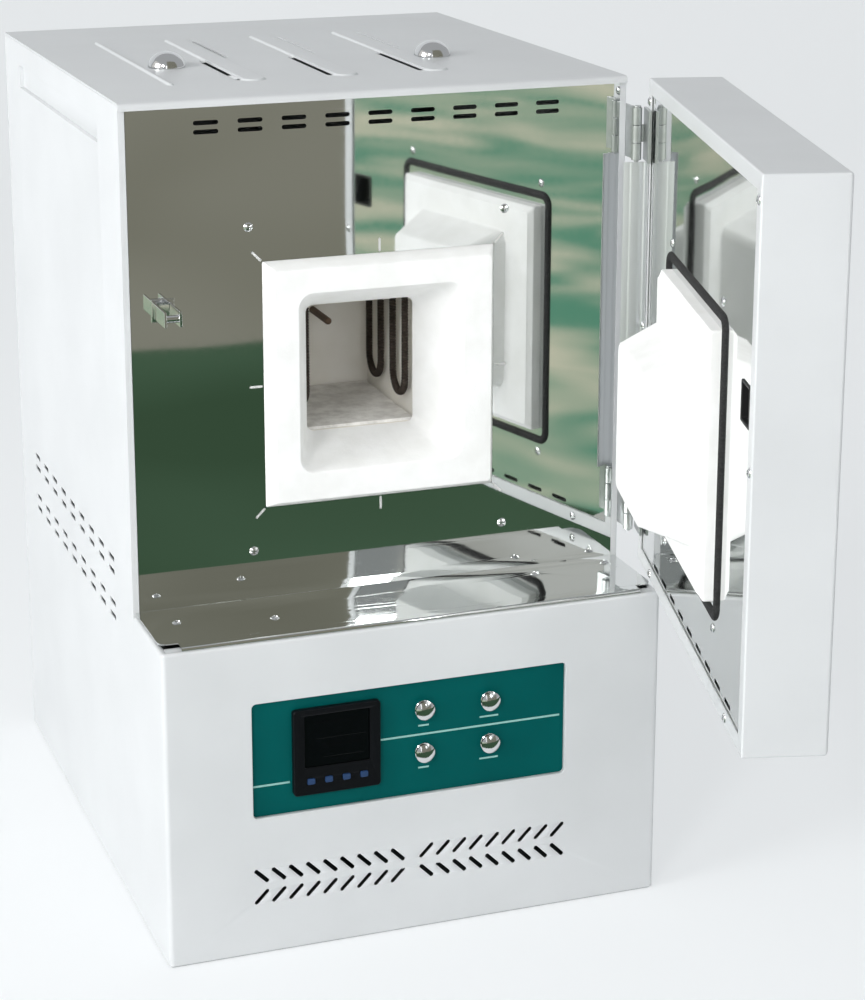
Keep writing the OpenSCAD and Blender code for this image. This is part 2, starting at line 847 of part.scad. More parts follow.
module insulation_front() {
        difference() {
            block([muffle_x - blanket_x, fibre_front, blanket_low],
                [muffle_x + blanket_x, funnel_y, blanket_high]);
            block([collar_x - collar_w / 2 - fibre_gap, front_y, collar_z - collar_h / 2 - fibre_gap],
                [collar_x + collar_w / 2 + fibre_gap, funnel_y + past, collar_z + collar_h / 2 + fibre_gap]);
            for (x = plate_screw_x, z = plate_screw_z)
                rod_y(x, z, screw_d + 2 * screw_clear, front_y, plate_back + 8);
        }
}

module insulation_sides() {
        for (side = [-1, 1])
            translate([muffle_x + side * (board_x + blanket_t / 2), 0, 0])
                block([-blanket_t / 2 + fibre_gap, funnel_y + fibre_gap, board_low],
                    [blanket_t / 2, board_y, board_high]);
}

module insulation_top() {
        difference() {
            block([muffle_x - blanket_x, funnel_y + fibre_gap, board_high + fibre_gap],
                [muffle_x + blanket_x, board_y, blanket_high]);
            heater_legs(heater_d + 2 * heater_clear, board_high, blanket_high + past);
        }
}

module insulation_bottom() {
        block([muffle_x - blanket_x, funnel_y + fibre_gap, blanket_low],
            [muffle_x + blanket_x, board_y, board_low - fibre_gap]);
}

module insulation_back() {
        difference() {
            block([muffle_x - blanket_x, board_y + fibre_gap, blanket_low],
                [muffle_x + blanket_x, blanket_y, blanket_high]);
            rod_y(muffle_x, sheath_z, sheath_d + 2 * heater_clear, board_y, blanket_y + past);
        }
}

// The blanket's slabs, each a piece of its own
module insulation_blanket() {
    color("white") {
        insulation_front();
        insulation_sides();
        insulation_top();
        insulation_bottom();
        insulation_back();
    }
}

// Steel shell with an inward fold at the front
module inner_shell() {
    x = blanket_x + fibre_gap;
    color("silver")
        difference() {
            block([muffle_x - x - liner_t, plate_back + seam, blanket_low - fibre_gap - liner_t],
                [muffle_x + x + liner_t, blanket_y + fibre_gap + liner_t, blanket_high + fibre_gap + liner_t]);
            block([muffle_x - x, plate_back + seam + liner_t, blanket_low - fibre_gap],
                [muffle_x + x, blanket_y + fibre_gap, blanket_high + fibre_gap]);
            block([muffle_x - x + shell_fold, front_y, blanket_low + shell_fold],
                [muffle_x + x - shell_fold, fibre_front + past, blanket_high - shell_fold]);
            for (px = plate_screw_x, z = plate_screw_z)
                rod_y(px, z, screw_d + 2 * screw_clear, front_y, fibre_front + past);
            heater_legs(heater_d + 2 * heater_clear, blanket_high, blanket_high + 3 * liner_t);
            rod_y(muffle_x, sheath_z, sheath_d + 2 * heater_clear, blanket_y, blanket_y + 3 * liner_t);
        }
}

// Two channels that stand on the divider shelf and carry the shell
module muffle_supports() {
    color("silver")
        for (side = [-1, 1])
            translate([muffle_x + side * support_x, 0, 0])
                difference() {
                    block([-support_w / 2, front_y + fold, shelf_h],
                        [support_w / 2, board_y, blanket_low - fibre_gap - liner_t]);
                    block([-support_w / 2 + pan_t, front_y, shelf_h - past],
                        [support_w / 2 - pan_t, board_y + past, blanket_low - fibre_gap - liner_t - pan_t]);
                }
}

// Places of the hairpins' middles along Y
function hairpin_y(i) = funnel_y + hairpin_in + i * hairpin_pitch;

// All eight heater legs as straight rods, for holes
module heater_legs(d, z0, z1) {
    for (side = [-1, 1], i = [0, 1], s = [-1, 1])
        rod_z(muffle_x + side * heater_x, hairpin_y(i) + s * hairpin_r, d, z0, z1);
}

// The two hairpins of one side: legs and a bend
module hairpins(side) {
    color("saddlebrown")
        for (i = [0, 1])
            translate([muffle_x + side * heater_x, hairpin_y(i), 0]) {
                for (s = [-1, 1])
                    rod_z(0, s * hairpin_r, heater_d, bend_z, heater_top);
                translate([0, 0, bend_z])
                    rotate([0, 90, 0])
                        rotate([0, 0, -90])
                            rotate_extrude(angle = 180)
                                translate([hairpin_r, 0])
                                    circle(d = heater_d);
            }
}

module heater_left() {
    hairpins(-1);
}

module heater_right() {
    hairpins(1);
}

module heater_bushes() {
    low = blanket_high + fibre_gap + liner_t;
    color("white")
        difference() {
            heater_legs(bush_d, low, low + bush_h);
            heater_legs(heater_d + 2 * pin_clear, low - past, low + bush_h + past);
        }
}

// Brass straps: one joins the inner legs of each side, the lugs take the leads
module heater_straps() {
    low = blanket_high + fibre_gap + liner_t + bush_h;
    half = heater_d / 2 + 3;
    color("goldenrod")
        difference() {
            for (side = [-1, 1])
                translate([muffle_x + side * heater_x, 0, 0]) {
                    block([-half, hairpin_y(0) + hairpin_r - half, low],
                        [half, hairpin_y(1) - hairpin_r + half, low + strap_h]);
                    for (y = [hairpin_y(0) - hairpin_r, hairpin_y(1) + hairpin_r])
                        block([-half, y - half, low], [2 * half, y + half, low + strap_h]);
                }
            heater_legs(heater_d + 2 * pin_clear, low - past, low + strap_h + past);
        }
}

module thermocouple_sheath() {
    color("sienna")
        rod_y(muffle_x, sheath_z, sheath_d, chamber_y - sheath_in, blanket_y + fibre_gap + liner_t + head_l / 2);
}

module thermocouple_head() {
    y = blanket_y + fibre_gap + liner_t;
    color("whitesmoke")
        difference() {
            rod_y(muffle_x, sheath_z, 4 * sheath_d, y, y + head_l);
            rod_y(muffle_x, sheath_z, sheath_d + 2 * pin_clear, y - past, y + head_l / 2);
        }
}

// Electrics in the lower bay
gland_x = -150;
gland_z = 60;
gland_d = 16;
gland_bore = 9;
gland_nut = 24;
block_l = 60;
block_w = 22;
block_h = 28;
sink_x = 100;
sink_w = 80;
sink_l = 100;
sink_h = 34;
fin_n = 7;
relay_w = 45;
relay_l = 58;
relay_h = 28;

module terminal_block() {
    color("beige")
        difference() {
            block([gland_x - block_w, back_y - 3 * block_w, pan_t],
                    [gland_x + block_l - block_w, back_y - 2 * block_w, pan_t + block_h]);
            for (i = [0 : 4])
                rod_z(gland_x - block_w / 2 + i * block_l / 5, back_y - 2.5 * block_w, 6,
                    pan_t + block_h / 2, pan_t + block_h + past);
        }
}

module heat_sink() {
    color("darkgray")
        translate([sink_x, back_y - sink_l, pan_t])
            difference() {
                block([-sink_w / 2, -sink_l / 2, 0], [sink_w / 2, sink_l / 2, sink_h]);
                for (i = [0 : fin_n - 1])
                    translate([(i - (fin_n - 1) / 2) * sink_w / fin_n, 0, sink_h / 2 - past])
                        cube([sink_w / fin_n / 2, sink_l + past, sink_h - 6], center = true);
            }
}

module solid_state_relay() {
    color("black")
        translate([sink_x, back_y - sink_l, pan_t + sink_h])
            difference() {
                block([-relay_w / 2, -relay_l / 2, 0], [relay_w / 2, relay_l / 2, relay_h]);
                for (s = [-1, 1])
                    block([-relay_w / 2 - past, s * relay_l / 2 - 12, relay_h / 2],
                        [relay_w / 2 + past, s * relay_l / 2 + 12, relay_h + past]);
            }
}

module cable_gland() {
    color("black")
        difference() {
            union() {
                rod_y(gland_x, gland_z, gland_d, back_y - gland_d, back_y + gland_d);
                translate([gland_x, back_y, gland_z])
                    rotate([-90, 0, 0])
                        cylinder(d = gland_nut, h = 6, $fn = 6);
                rod_y(gland_x, gland_z, gland_nut - 3, back_y + 6 - eps, back_y + gland_d);
                translate([gland_x, back_y - sheet - 5, gland_z])
                    rotate([-90, 0, 0])
                        cylinder(d = gland_nut, h = 5, $fn = 6);
            }
            rod_y(gland_x, gland_z, gland_bore, back_y - gland_d - past, back_y + gland_d + past);
        }
}

// Fasteners

// A domed screw along Z: its head sits on the plane z = 0 and its shank goes down
module screw(len) {
    translate([0, 0, -len])
        cylinder(d = screw_d, h = len + eps);
    intersection() {
        translate([0, 0, head_h - head_d])
            sphere(d = 2 * head_d);
        cylinder(d = head_d, h = head_h);
    }
}

module plate_screws() {
    color("silver")
        for (x = plate_screw_x, z = plate_screw_z)
            translate([x, front_y, z])
                rotate([90, 0, 0])
                    screw(8);
}

module shelf_screws() {
    color("silver")
        for (spot = shelf_spots)
            translate([spot[0], spot[1], shelf_h])
                screw(6);
}

module rear_screws() {
    color("silver")
        for (s = [-1, 1], z = [fold_low + fold, fold_high - fold])
            translate([s * (side_x - fold / 2), back_y, z])
                rotate([-90, 0, 0])
                    screw(6);
}

// Dome nuts on studs through the cover
module top_screws() {
    ball_r = (dome_d * dome_d / 4 + dome_h * dome_h) / (2 * dome_h);
    color("silver")
        for (spot = dome_spots) {
            rod_z(spot[0], spot[1], screw_d, cab_h - dome_h, cab_h + eps);
            intersection() {
                translate([spot[0], spot[1], cab_h + dome_h - ball_r])
                    sphere(r = ball_r);
                rod_z(spot[0], spot[1], dome_d, cab_h, cab_h + dome_h);
            }
        }
}

// Hinges and catch

// The frame leaves: a flat leaf on the side panel that ends in two knuckles, at both hinges
module hinge_frame_leaves() {
    color("silver")
        for (z = hinge_zs)
            translate([0, 0, z - hinge_h / 2])
                difference() {
                    union() {
                        block([side_x, axis_y + leaf_t, 0], [side_x + leaf_t, front_y + frame_leaf_in, hinge_h]);
                        rod_z(axis_x, axis_y, barrel_d, 0, hinge_h);
                    }
                    rod_z(axis_x, axis_y, barrel_d + 4 * leaf_t / 3, knuckle_h - knuckle_gap, 2 * knuckle_h + knuckle_gap);
                    rod_z(axis_x, axis_y, pin_d + 2 * pin_clear, -past, hinge_h + past);
                }
}

module hinge_pins() {
    color("silver")
        for (z = hinge_zs) {
            rod_z(axis_x, axis_y, pin_d, z - hinge_h / 2 - pin_head_h, z + hinge_h / 2 + pin_clear);
            rod_z(axis_x, axis_y, pin_head_d, z + hinge_h / 2 + pin_clear, z + hinge_h / 2 + pin_head_h);
        }
}

// A plate with two arms and a roller that enters the door's socket
module door_catch() {
    z = socket_mid - catch_drop;
    half = socket_w / 2 - 5;
    color("silver") {
        block([socket_x - catch_base / 2, front_y - sheet, z - catch_base / 2],
            [socket_x + catch_base / 2, front_y, z + catch_base / 2]);
        for (s = [-1, 1])
            translate([socket_x + s * half, 0, 0])
                block([-catch_arm / 2, catch_tip, z - roller_d],
                    [catch_arm / 2, front_y - sheet + eps, z + roller_d]);
        translate([socket_x - half, catch_tip + roller_d / 2 + past, z])
            rotate([0, 90, 0])
                cylinder(d = roller_d, h = 2 * half);
    }
}

// Door

// Turns the door's pieces from the closed place to the open one
module door_place() {
    translate([axis_x, axis_y, 0])
        rotate([0, 0, door_open])
            translate([-axis_x, -axis_y, 0])
                children();
}

module door_shell() {
    color("whitesmoke")
        door_place()
            difference() {
                block([door_left, console_y, door_low], [door_right, rim_y, door_high]);
                block([door_left + sheet, console_y + sheet, door_low + sheet],
                    [door_right - sheet, rim_y - sheet, door_high - sheet]);
                block([door_left + rim_w, rim_y - 2 * sheet, door_low + rim_w],
                    [door_right - rim_w, rim_y + past, door_high - rim_w]);
                door_screw_holes();
                block([pull_x - pull_w / 2 - seam, console_y - past, pull_z - pull_h / 2 - seam],
                    [pull_x + pull_w / 2 + seam, console_y + 2 * sheet, pull_z + pull_h / 2 + seam]);
            }
}

module door_liner() {
    edge = rim_w - liner_lap;
    color("lightsteelblue")
        door_place()
            difference() {
                block([door_left + edge, liner_y - sheet, door_low + edge],
                    [door_right - edge, liner_y, door_high - edge]);
                block([socket_x - socket_w / 2 - socket_wall - seam, liner_y - 2 * sheet,
                    socket_mid - socket_h / 2 - socket_wall - seam],
                    [socket_x + socket_w / 2 + socket_wall + seam, liner_y + past,
                     socket_mid + socket_h / 2 + socket_wall + seam]);
                for (i = [0 : vent_n - 1])
                    translate([liner_slot_mid + (i - (vent_n - 1) / 2) * vent_pitch, liner_y, door_low + liner_slot_up])
                        slot(vent_l, vent_h, 4 * sheet);
                door_screw_holes();
            }
}

module door_insulation() {
    color("white")
        door_place()
            difference() {
                block([gasket_x - gasket_w / 2 - 20, console_y + 2 * sheet, collar_z - gasket_h / 2 - 20],
                    [gasket_x + gasket_w / 2 + 20, liner_y - sheet - seam, collar_z + gasket_h / 2 + 20]);
                door_screw_holes();
            }
}

module door_gasket() {
    color("black")
        door_place()
            difference() {
                rounded(gasket_x, collar_z, gasket_w, gasket_h, gasket_r, liner_y, liner_y + gasket_t);
                rounded(gasket_x, collar_z, gasket_w - 2 * gasket_band, gasket_h - 2 * gasket_band,
                    gasket_r - gasket_band, liner_y - past, liner_y + gasket_t + past);
            }
}

// Width or height of the nose at a depth in the funnel, with the side clearance taken off
function nose_size(mouth, throat, depth) = mouth + (throat - mouth) * depth - 2 * nose_gap;

module door_plug() {
    w = gasket_w / 2 - gasket_band - plug_gap;
    h = gasket_h / 2 - gasket_band - plug_gap;
    drop = (chamber_z + chamber_h / 2 - mouth_z);
    color("white")
        door_place() {
            block([gasket_x - w, liner_y, collar_z - h], [gasket_x + w, plug_y, collar_z + h]);
            hull() {
                taper_end(muffle_x, mouth_z + drop * nose_root, nose_size(mouth_w, throat_w, nose_root),
                    nose_size(mouth_h, chamber_h, nose_root), mouth_r - 2, plug_y - eps);
                taper_end(muffle_x, mouth_z + drop * nose_in, nose_size(mouth_w, throat_w, nose_in),
                    nose_size(mouth_h, chamber_h, nose_in), mouth_r / 2, nose_y);
            }
        }
}

module latch_socket() {
    color("black")
        door_place()
            difference() {
                union() {
                    block([socket_x - socket_w / 2 - socket_wall, liner_y - socket_d,
                        socket_mid - socket_h / 2 - socket_wall],
                        [socket_x + socket_w / 2 + socket_wall, liner_y + eps,
                         socket_mid + socket_h / 2 + socket_wall]);
                    block([socket_x - socket_w / 2 - socket_rim, liner_y,
                        socket_mid - socket_h / 2 - socket_rim],
                        [socket_x + socket_w / 2 + socket_rim, liner_y + 1,
                         socket_mid + socket_h / 2 + socket_rim]);
                }
                block([socket_x - socket_w / 2, liner_y - socket_d + socket_wall, socket_mid - socket_h / 2],
                    [socket_x + socket_w / 2, liner_y + 2, socket_mid + socket_h / 2]);
            }
}

module door_pull() {
    color("dimgray")
        door_place()
            difference() {
                union() {
                    block([pull_x - pull_w / 2, console_y - eps, pull_z - pull_h / 2],
                        [pull_x + pull_w / 2, console_y + pull_d, pull_z + pull_h / 2]);
                    block([pull_x - pull_w / 2 - pull_rim, console_y - 1, pull_z - pull_h / 2 - pull_rim],
                        [pull_x + pull_w / 2 + pull_rim, console_y, pull_z + pull_h / 2 + pull_rim]);
                }
                block([pull_x - pull_w / 2 + socket_wall, console_y - 2, pull_z - pull_h / 2 + socket_wall],
                    [pull_x + pull_w / 2 - socket_wall, console_y + pull_d - socket_wall,
                     pull_z + pull_h / 2 - socket_wall]);
            }
}

// The door leaves: a plate on the rim, a web and the middle knuckle, at both hinges
module hinge_door_leaves() {
    color("silver")
        door_place()
            for (z = hinge_zs)
                translate([0, 0, z - hinge_h / 2])
                    difference() {
                        union() {
                            block([door_right - leaf_l, rim_y, 0],
                                [axis_x + barrel_d / 2, rim_y + leaf_t, hinge_h]);
                            block([axis_x + barrel_d / 2 - leaf_t, rim_y, knuckle_h],
                                [axis_x + barrel_d / 2, axis_y, 2 * knuckle_h]);
                            rod_z(axis_x, axis_y, barrel_d, knuckle_h, 2 * knuckle_h);
                        }
                        rod_z(axis_x, axis_y, pin_d + 2 * pin_clear, -past, hinge_h + past);
                    }
}

// The folded strip between the hinges: a foot on the door's rim and a beaded wall that covers the gap
module hinge_post() {
    low = hinge_zs[0] + hinge_h / 2 + past;
    high = hinge_zs[1] - hinge_h / 2 - past;
    tip = rim_y + strip_out;
    margin = (strip_out - strip_bead) / 2;
    color("gainsboro")
        door_place() {
            difference() {
                block([door_right - strip_foot, rim_y, low], [door_right, rim_y + sheet, high]);
                door_screw_holes();
            }
            block([door_right - sheet, rim_y, low], [door_right, rim_y + margin, high]);
            block([door_right - sheet - strip_step, rim_y + margin - sheet, low],
                [door_right - strip_step, tip - margin + sheet, high]);
            block([door_right - sheet, tip - margin, low], [door_right, tip, high]);
        }
}

// Puts a piece at each door screw's place: the rim's sides and foot, the strip, and the gasket's corners
module at_door_screws() {
    mid_z = (door_low + door_high) / 2;
    free_x = door_left + rim_w / 2;
    hinge_x = door_right - rim_w / 2;
    for (spot = [[free_x, rim_y, door_high - rim_screw_top], [hinge_x, rim_y, door_high - rim_screw_top],
            [free_x, rim_y, mid_z], [hinge_x, rim_y + sheet, mid_z],
            [-foot_screw_x, rim_y, door_low + rim_w / 2], [foot_screw_x, rim_y, door_low + rim_w / 2]])
        translate(spot)
            rotate([-90, 0, 0])
                children();
    for (x = [-1, 1], z = [-1, 1])
        translate([gasket_x + x * gasket_screw_x, liner_y, collar_z + z * (gasket_h / 2 + gasket_screw_z)])
            rotate([-90, 0, 0])
                children();
}

module door_screw_holes() {
    at_door_screws()
        translate([0, 0, -fold])
            cylinder(d = screw_d + 2 * screw_clear, h = fold + past);
}

module door_screws() {
    color("silver")
        door_place()
            at_door_screws()
                screw(6);
}

base_pan();
left_side_panel();
right_side_panel();
top_cover();
rear_cover();
front_plate();
console_panel();
console_shelf();
shelf_deck();
control_fascia();
controller_bezel();
controller_window();
controller_case();
button_bodies();
muffle_collar();
hearth_slab();
chamber_floor();
chamber_left_wall();
chamber_right_wall();
chamber_roof();
chamber_back();
insulation_blanket();
inner_shell();
muffle_supports();
divider_shelf();
heater_left();
heater_right();
heater_bushes();
heater_straps();
thermocouple_sheath();
thermocouple_head();
terminal_block();
solid_state_relay();
heat_sink();
cable_gland();
plate_screws();
shelf_screws();
rear_screws();
top_screws();
door_catch();
hinge_frame_leaves();
hinge_pins();
hinge_post();
door_shell();
door_liner();
door_insulation();
door_gasket();
door_plug();
latch_socket();
door_pull();
hinge_door_leaves();
door_screws();
push_button(0);  // push_button_1
push_button(1);  // push_button_2
push_button(2);  // push_button_3
push_button(3);  // push_button_4
controller_key(0);  // controller_key_1
controller_key(1);  // controller_key_2
controller_key(2);  // controller_key_3
controller_key(3);  // controller_key_4
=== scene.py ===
"""Dresses the muffle furnace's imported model: sheet metal with its folds, polished steel, fibre,
heaters, controls."""

from math import radians

import bmesh
import bpy
import numpy as np
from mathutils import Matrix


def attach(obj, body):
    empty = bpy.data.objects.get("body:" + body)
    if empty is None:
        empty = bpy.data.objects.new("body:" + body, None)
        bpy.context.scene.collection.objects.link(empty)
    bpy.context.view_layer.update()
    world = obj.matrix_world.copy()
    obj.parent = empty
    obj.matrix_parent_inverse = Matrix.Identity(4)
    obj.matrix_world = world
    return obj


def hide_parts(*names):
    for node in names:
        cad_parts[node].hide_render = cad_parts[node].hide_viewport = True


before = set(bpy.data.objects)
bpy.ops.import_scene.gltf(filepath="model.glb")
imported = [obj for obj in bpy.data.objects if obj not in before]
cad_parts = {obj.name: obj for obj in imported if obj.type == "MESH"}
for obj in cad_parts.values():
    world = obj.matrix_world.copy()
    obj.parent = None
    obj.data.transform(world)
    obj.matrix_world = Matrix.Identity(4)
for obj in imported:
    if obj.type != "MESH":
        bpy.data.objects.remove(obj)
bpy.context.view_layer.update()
scene = bpy.context.scene
scene.view_settings.view_transform = "Standard"

# ---- Camera: a medium lens from the furnace's left, a little above it, turned 20 degrees to the
# right. The shift only brings the furnace to the middle of the frame.
lens = bpy.data.cameras.new("camera")
lens.lens = 90.98
lens.sensor_width = 36
lens.shift_x = 0.0349
lens.shift_y = -0.1132
lens.clip_end = 40
camera = bpy.data.objects.new("camera", lens)
camera.location = (-0.6340, -2.0094, 0.9679)
camera.rotation_euler = (radians(74.558), radians(0.137), radians(-19.47))
scene.collection.objects.link(camera)
scene.camera = camera


# ---- Stage: a matt paper floor that curves up into a backdrop, both pale blue-white. The camera
# and the polished steel see its own colour, and the floor still takes the furnace's shadow.
def linear(code):
    """sRGB hex to linear: a channel up to 0.04045 is divided by 12.92, any other is
    ((c + 0.055) / 1.055) ** 2.4."""
    value = np.array([int(code[i:i + 2], 16) for i in (1, 3, 5)]) / 255
    value = np.where(value > 0.04045, ((value + 0.055) / 1.055) ** 2.4, value / 12.92)
    return (*value.tolist(), 1.0)


def begin(name):
    """An empty material and its node tree."""
    material = bpy.data.materials.new(name)
    material.use_nodes = True
    material.node_tree.nodes.clear()
    return material, material.node_tree


def add(tree, kind, values={}, links={}, stops=()):
    """Adds one shader node. values go to its properties or sockets, links join a socket to
    (node, output), and stops are a ramp's (position, hex colour) pairs."""
    node = tree.nodes.new("ShaderNode" + kind)
    for key, value in values.items():
        if isinstance(key, str) and hasattr(node, key):
            setattr(node, key, value)
        else:
            node.inputs[key].default_value = value
    for key, (source, output) in links.items():
        tree.links.new(source.outputs[output], node.inputs[key])
    for i, (position, code) in enumerate(stops):
        node.color_ramp.elements[i].position = position
        node.color_ramp.elements[i].color = linear(code)
    return node


def skin(points, around=True, ends=True, looped=False):
    """Quads over a grid of points. around joins the last column to the first, looped the last row
    to the first, and ends closes the first and the last row with one face each."""
    rows, columns = points.shape[:2]
    index = np.arange(rows * columns).reshape(rows, columns)
    closed = np.c_[index, index[:, :1]] if around else index
    closed = np.r_[closed, closed[:1]] if looped else closed
    quads = np.stack([closed[:-1, :-1], closed[:-1, 1:], closed[1:, 1:], closed[1:, :-1]], -1)
    faces = quads.reshape(-1, 4).tolist()
    if ends:
        faces += [index[0, ::-1].tolist(), index[-1].tolist()]
    return points.reshape(-1, 3), faces


def piece(name, skins, material, crease=35, wall=0.0, turn=None):
    """One object from skins in millimetres. Doubles are merged and faces turned outwards before the
    sheet gets its wall, inwards; edges sharper than the crease stay sharp."""
    points = np.concatenate([p for p, _ in skins])
    if turn is not None:
        points = turn(points)
    starts = np.cumsum([0] + [len(p) for p, _ in skins])
    faces = [[i + start for i in face]
             for start, (_, group) in zip(starts, skins) for face in group]
    mesh = bpy.data.meshes.new(name)
    mesh.from_pydata(points / 1000, [], faces)
    mesh.materials.append(material)
    work = bmesh.new()
    work.from_mesh(mesh)
    bmesh.ops.remove_doubles(work, verts=work.verts, dist=2e-6)
    bmesh.ops.recalc_face_normals(work, faces=work.faces)
    middle = sum((v.co for v in work.verts), start=work.verts[:][0].co * 0) / len(work.verts)
    if sum((f.calc_center_median() - middle).dot(f.normal) * f.calc_area() for f in work.faces) < 0:
        bmesh.ops.reverse_faces(work, faces=work.faces)
    work.to_mesh(mesh)
    work.free()
    mesh.shade_smooth()
    mesh.set_sharp_from_angle(angle=radians(crease))
    thing = bpy.data.objects.new(name, mesh)
    scene.collection.objects.link(thing)
    if wall:
        solid = thing.modifiers.new("wall", "SOLIDIFY")
        solid.thickness = wall / 1000
        solid.offset = -1
    weigh = thing.modifiers.new("flat_faces_stay_flat", "WEIGHTED_NORMAL")
    weigh.keep_sharp = True
    return thing


paper, tree = begin("matt_paper")
path = add(tree, "LightPath")
seen = add(tree, "Math", {"operation": "MAXIMUM"},
           {0: (path, "Is Camera Ray"), 1: (path, "Is Glossy Ray")})
share = add(tree, "Math", {"operation": "MULTIPLY", 1: 0.6}, {0: (seen, 0)})
matt = add(tree, "BsdfDiffuse", {"Color": linear("#f4f6f7")})
glow = add(tree, "Emission", {"Color": linear("#f7fafc"), "Strength": 1.0})
both = add(tree, "MixShader", {}, {0: (share, 0), 1: (matt, 0), 2: (glow, 0)})
add(tree, "OutputMaterial", {}, {"Surface": (both, 0)})
bend = np.radians(np.linspace(0, 90, 25))
rise = np.concatenate([[[-6000, 0]], np.c_[3000 + 1500 * np.sin(bend), 1500 - 1500 * np.cos(bend)],
                       [[4500, 6000]]])
cove = np.stack([np.c_[np.full(len(rise), x), rise] for x in (-7000, 7000)])
floor = piece("floor", [skin(cove, around=False, ends=False)], paper)

# Four matt cards round the furnace's front are seen by polished steel alone, which takes its tones
# from them: an olive one upright, a dark green one on the floor before it, to the left a clouded
# pale green one that is lit, since it is seen by two mirrors in turn, and a white one upright.
for name, low, high, power, grain, corners in (
    ("olive_card", "#807f72", "#8c8b7f", 1.0, 900,
     [(-500, -1960, 0), (2600, -1960, 0), (2600, -1960, 3800), (-500, -1960, 3800)]),
    ("green_card", "#3d543f", "#48614c", 1.0, 900,
     [(-500, -400, 1), (2600, -400, 1), (2600, -1960, 1), (-500, -1960, 1)]),
    ("pale_card", "#6fae92", "#f3efd6", 0.95, 300,
     [(-3600, 600, 1), (-500, -400, 1), (-500, -3600, 1), (-3600, -3600, 1)]),
    ("white_card", "#dcdad4", "#f6f5f2", 0.95, 700,
     [(-3500, -3600, 0), (-3500, 1500, 0), (-3500, 1500, 3800), (-3500, -3600, 3800)]),
):
    card_paint, tree = begin("matt_" + name)
    place = add(tree, "TexCoord")
    drawn = add(tree, "Mapping", {"Rotation": (0, 0, 0.9), "Scale": (1, 0.4, 1)},
                {"Vector": (place, "Object")})
    cloud = add(tree, "TexNoise", {"Scale": 1000 / grain, "Detail": 1.5, "Distortion": 2.2},
                {"Vector": (drawn, "Vector")})
    tone = add(tree, "ValToRGB", {}, {"Fac": (cloud, "Fac")}, [(0.35, low), (0.65, high)])
    glow = add(tree, "Emission", {"Strength": power}, {"Color": (tone, "Color")})
    add(tree, "OutputMaterial", {}, {"Surface": (glow, 0)})
    card = piece(name, [(np.array(corners, float), [[0, 1, 2, 3]])], card_paint)
    card.visible_camera = False
    card.visible_diffuse = False
    card.visible_shadow = False
    card.visible_transmission = False

# ---- Lights: a soft box from the left, a smaller one from the left front, a faint one before the
# chamber, and an even pale surround.
sky = bpy.data.worlds.new("studio")
scene.world = sky
sky.use_nodes = True
sky.node_tree.nodes["Background"].inputs["Color"].default_value = linear("#f7fafc")
sky.node_tree.nodes["Background"].inputs["Strength"].default_value = 0.48
for name, place, aim, size, power in (
    ("left_box", (-2.6, -0.7, 1.5), (0, 0, 0.35), 1.2, 47),
    ("front_box", (-2.4, -3.0, 2.2), (0, 0, 0.35), 0.7, 46),
    ("fill_box", (-0.3, -3.2, 1.2), (0, 0, 0.45), 1.6, 12),
):
    lamp = bpy.data.lights.new(name, "AREA")
    lamp.size = size
    lamp.energy = power
    box = bpy.data.objects.new(name, lamp)
    box.location = place
    down = np.array(aim) - np.array(place)
    box.rotation_euler = (np.arctan2(np.hypot(down[0], down[1]), -down[2]), 0,
                          np.arctan2(-down[0], down[1]))
    scene.collection.objects.link(box)

# ---- Side panels: 1.5 mm steel sheet, folded at its edges, pressed and slotted, then powder coated
# light grey. A fine orange peel breaks its soft gloss. They hook on the base pan and are screwed at
# the rear.
coat, tree = begin("powder_coat")
place = add(tree, "TexCoord")
peel = add(tree, "TexNoise", {"Scale": 1000 / 1.6, "Detail": 1.5}, {"Vector": (place, "Object")})
cloud = add(tree, "TexNoise", {"Scale": 1000 / 90, "Detail": 2.0}, {"Vector": (place, "Object")})
tone = add(tree, "ValToRGB", {}, {"Fac": (cloud, "Fac")}, [(0.3, "#d3d5d6"), (0.7, "#d9dbdc")])
gloss = add(tree, "MapRange", {"To Min": 0.34, "To Max": 0.44}, {"Value": (cloud, "Fac")})
relief = add(tree, "Bump", {"Strength": 0.35, "Distance": 0.00004}, {"Height": (peel, "Fac")})
shader = add(tree, "BsdfPrincipled", {"IOR": 1.5}, {
    "Base Color": (tone, "Color"), "Roughness": (gloss, "Result"), "Normal": (relief, "Normal")})
add(tree, "OutputMaterial", {}, {"Surface": (shader, "BSDF")})


def softened(node, material, width):
    """The node's own shape with its loose triangles merged and its sharp edges rounded by width,
    in mm."""
    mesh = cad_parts[node].data.copy()
    mesh.materials.clear()
    mesh.materials.append(material)
    work = bmesh.new()
    work.from_mesh(mesh)
    bmesh.ops.remove_doubles(work, verts=work.verts, dist=1e-5)
    bmesh.ops.dissolve_limit(work, angle_limit=radians(2), verts=work.verts, edges=work.edges)
    work.to_mesh(mesh)
    work.free()
    mesh.shade_smooth()
    mesh.set_sharp_from_angle(angle=radians(35))
    thing = bpy.data.objects.new(node + "_shape", mesh)
    scene.collection.objects.link(thing)
    bevel = thing.modifiers.new("edges", "BEVEL")
    bevel.width = width / 1000
    bevel.segments = 2
    bevel.limit_method = "ANGLE"
    bevel.angle_limit = radians(40)
    bevel.harden_normals = True
    bevel.use_clamp_overlap = False
    return thing


HALF, FRONT, BACK, TOP = 208.0, -174.0, 262.0, 670.0  # the cabinet's half width and its faces
SHEET = 1.4  # wall of a folded sheet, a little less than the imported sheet's
for side in ("left", "right"):
    panel = softened(side + "_side_panel", coat, 0.35)
    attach(panel, "cabinet")
    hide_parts(side + "_side_panel")


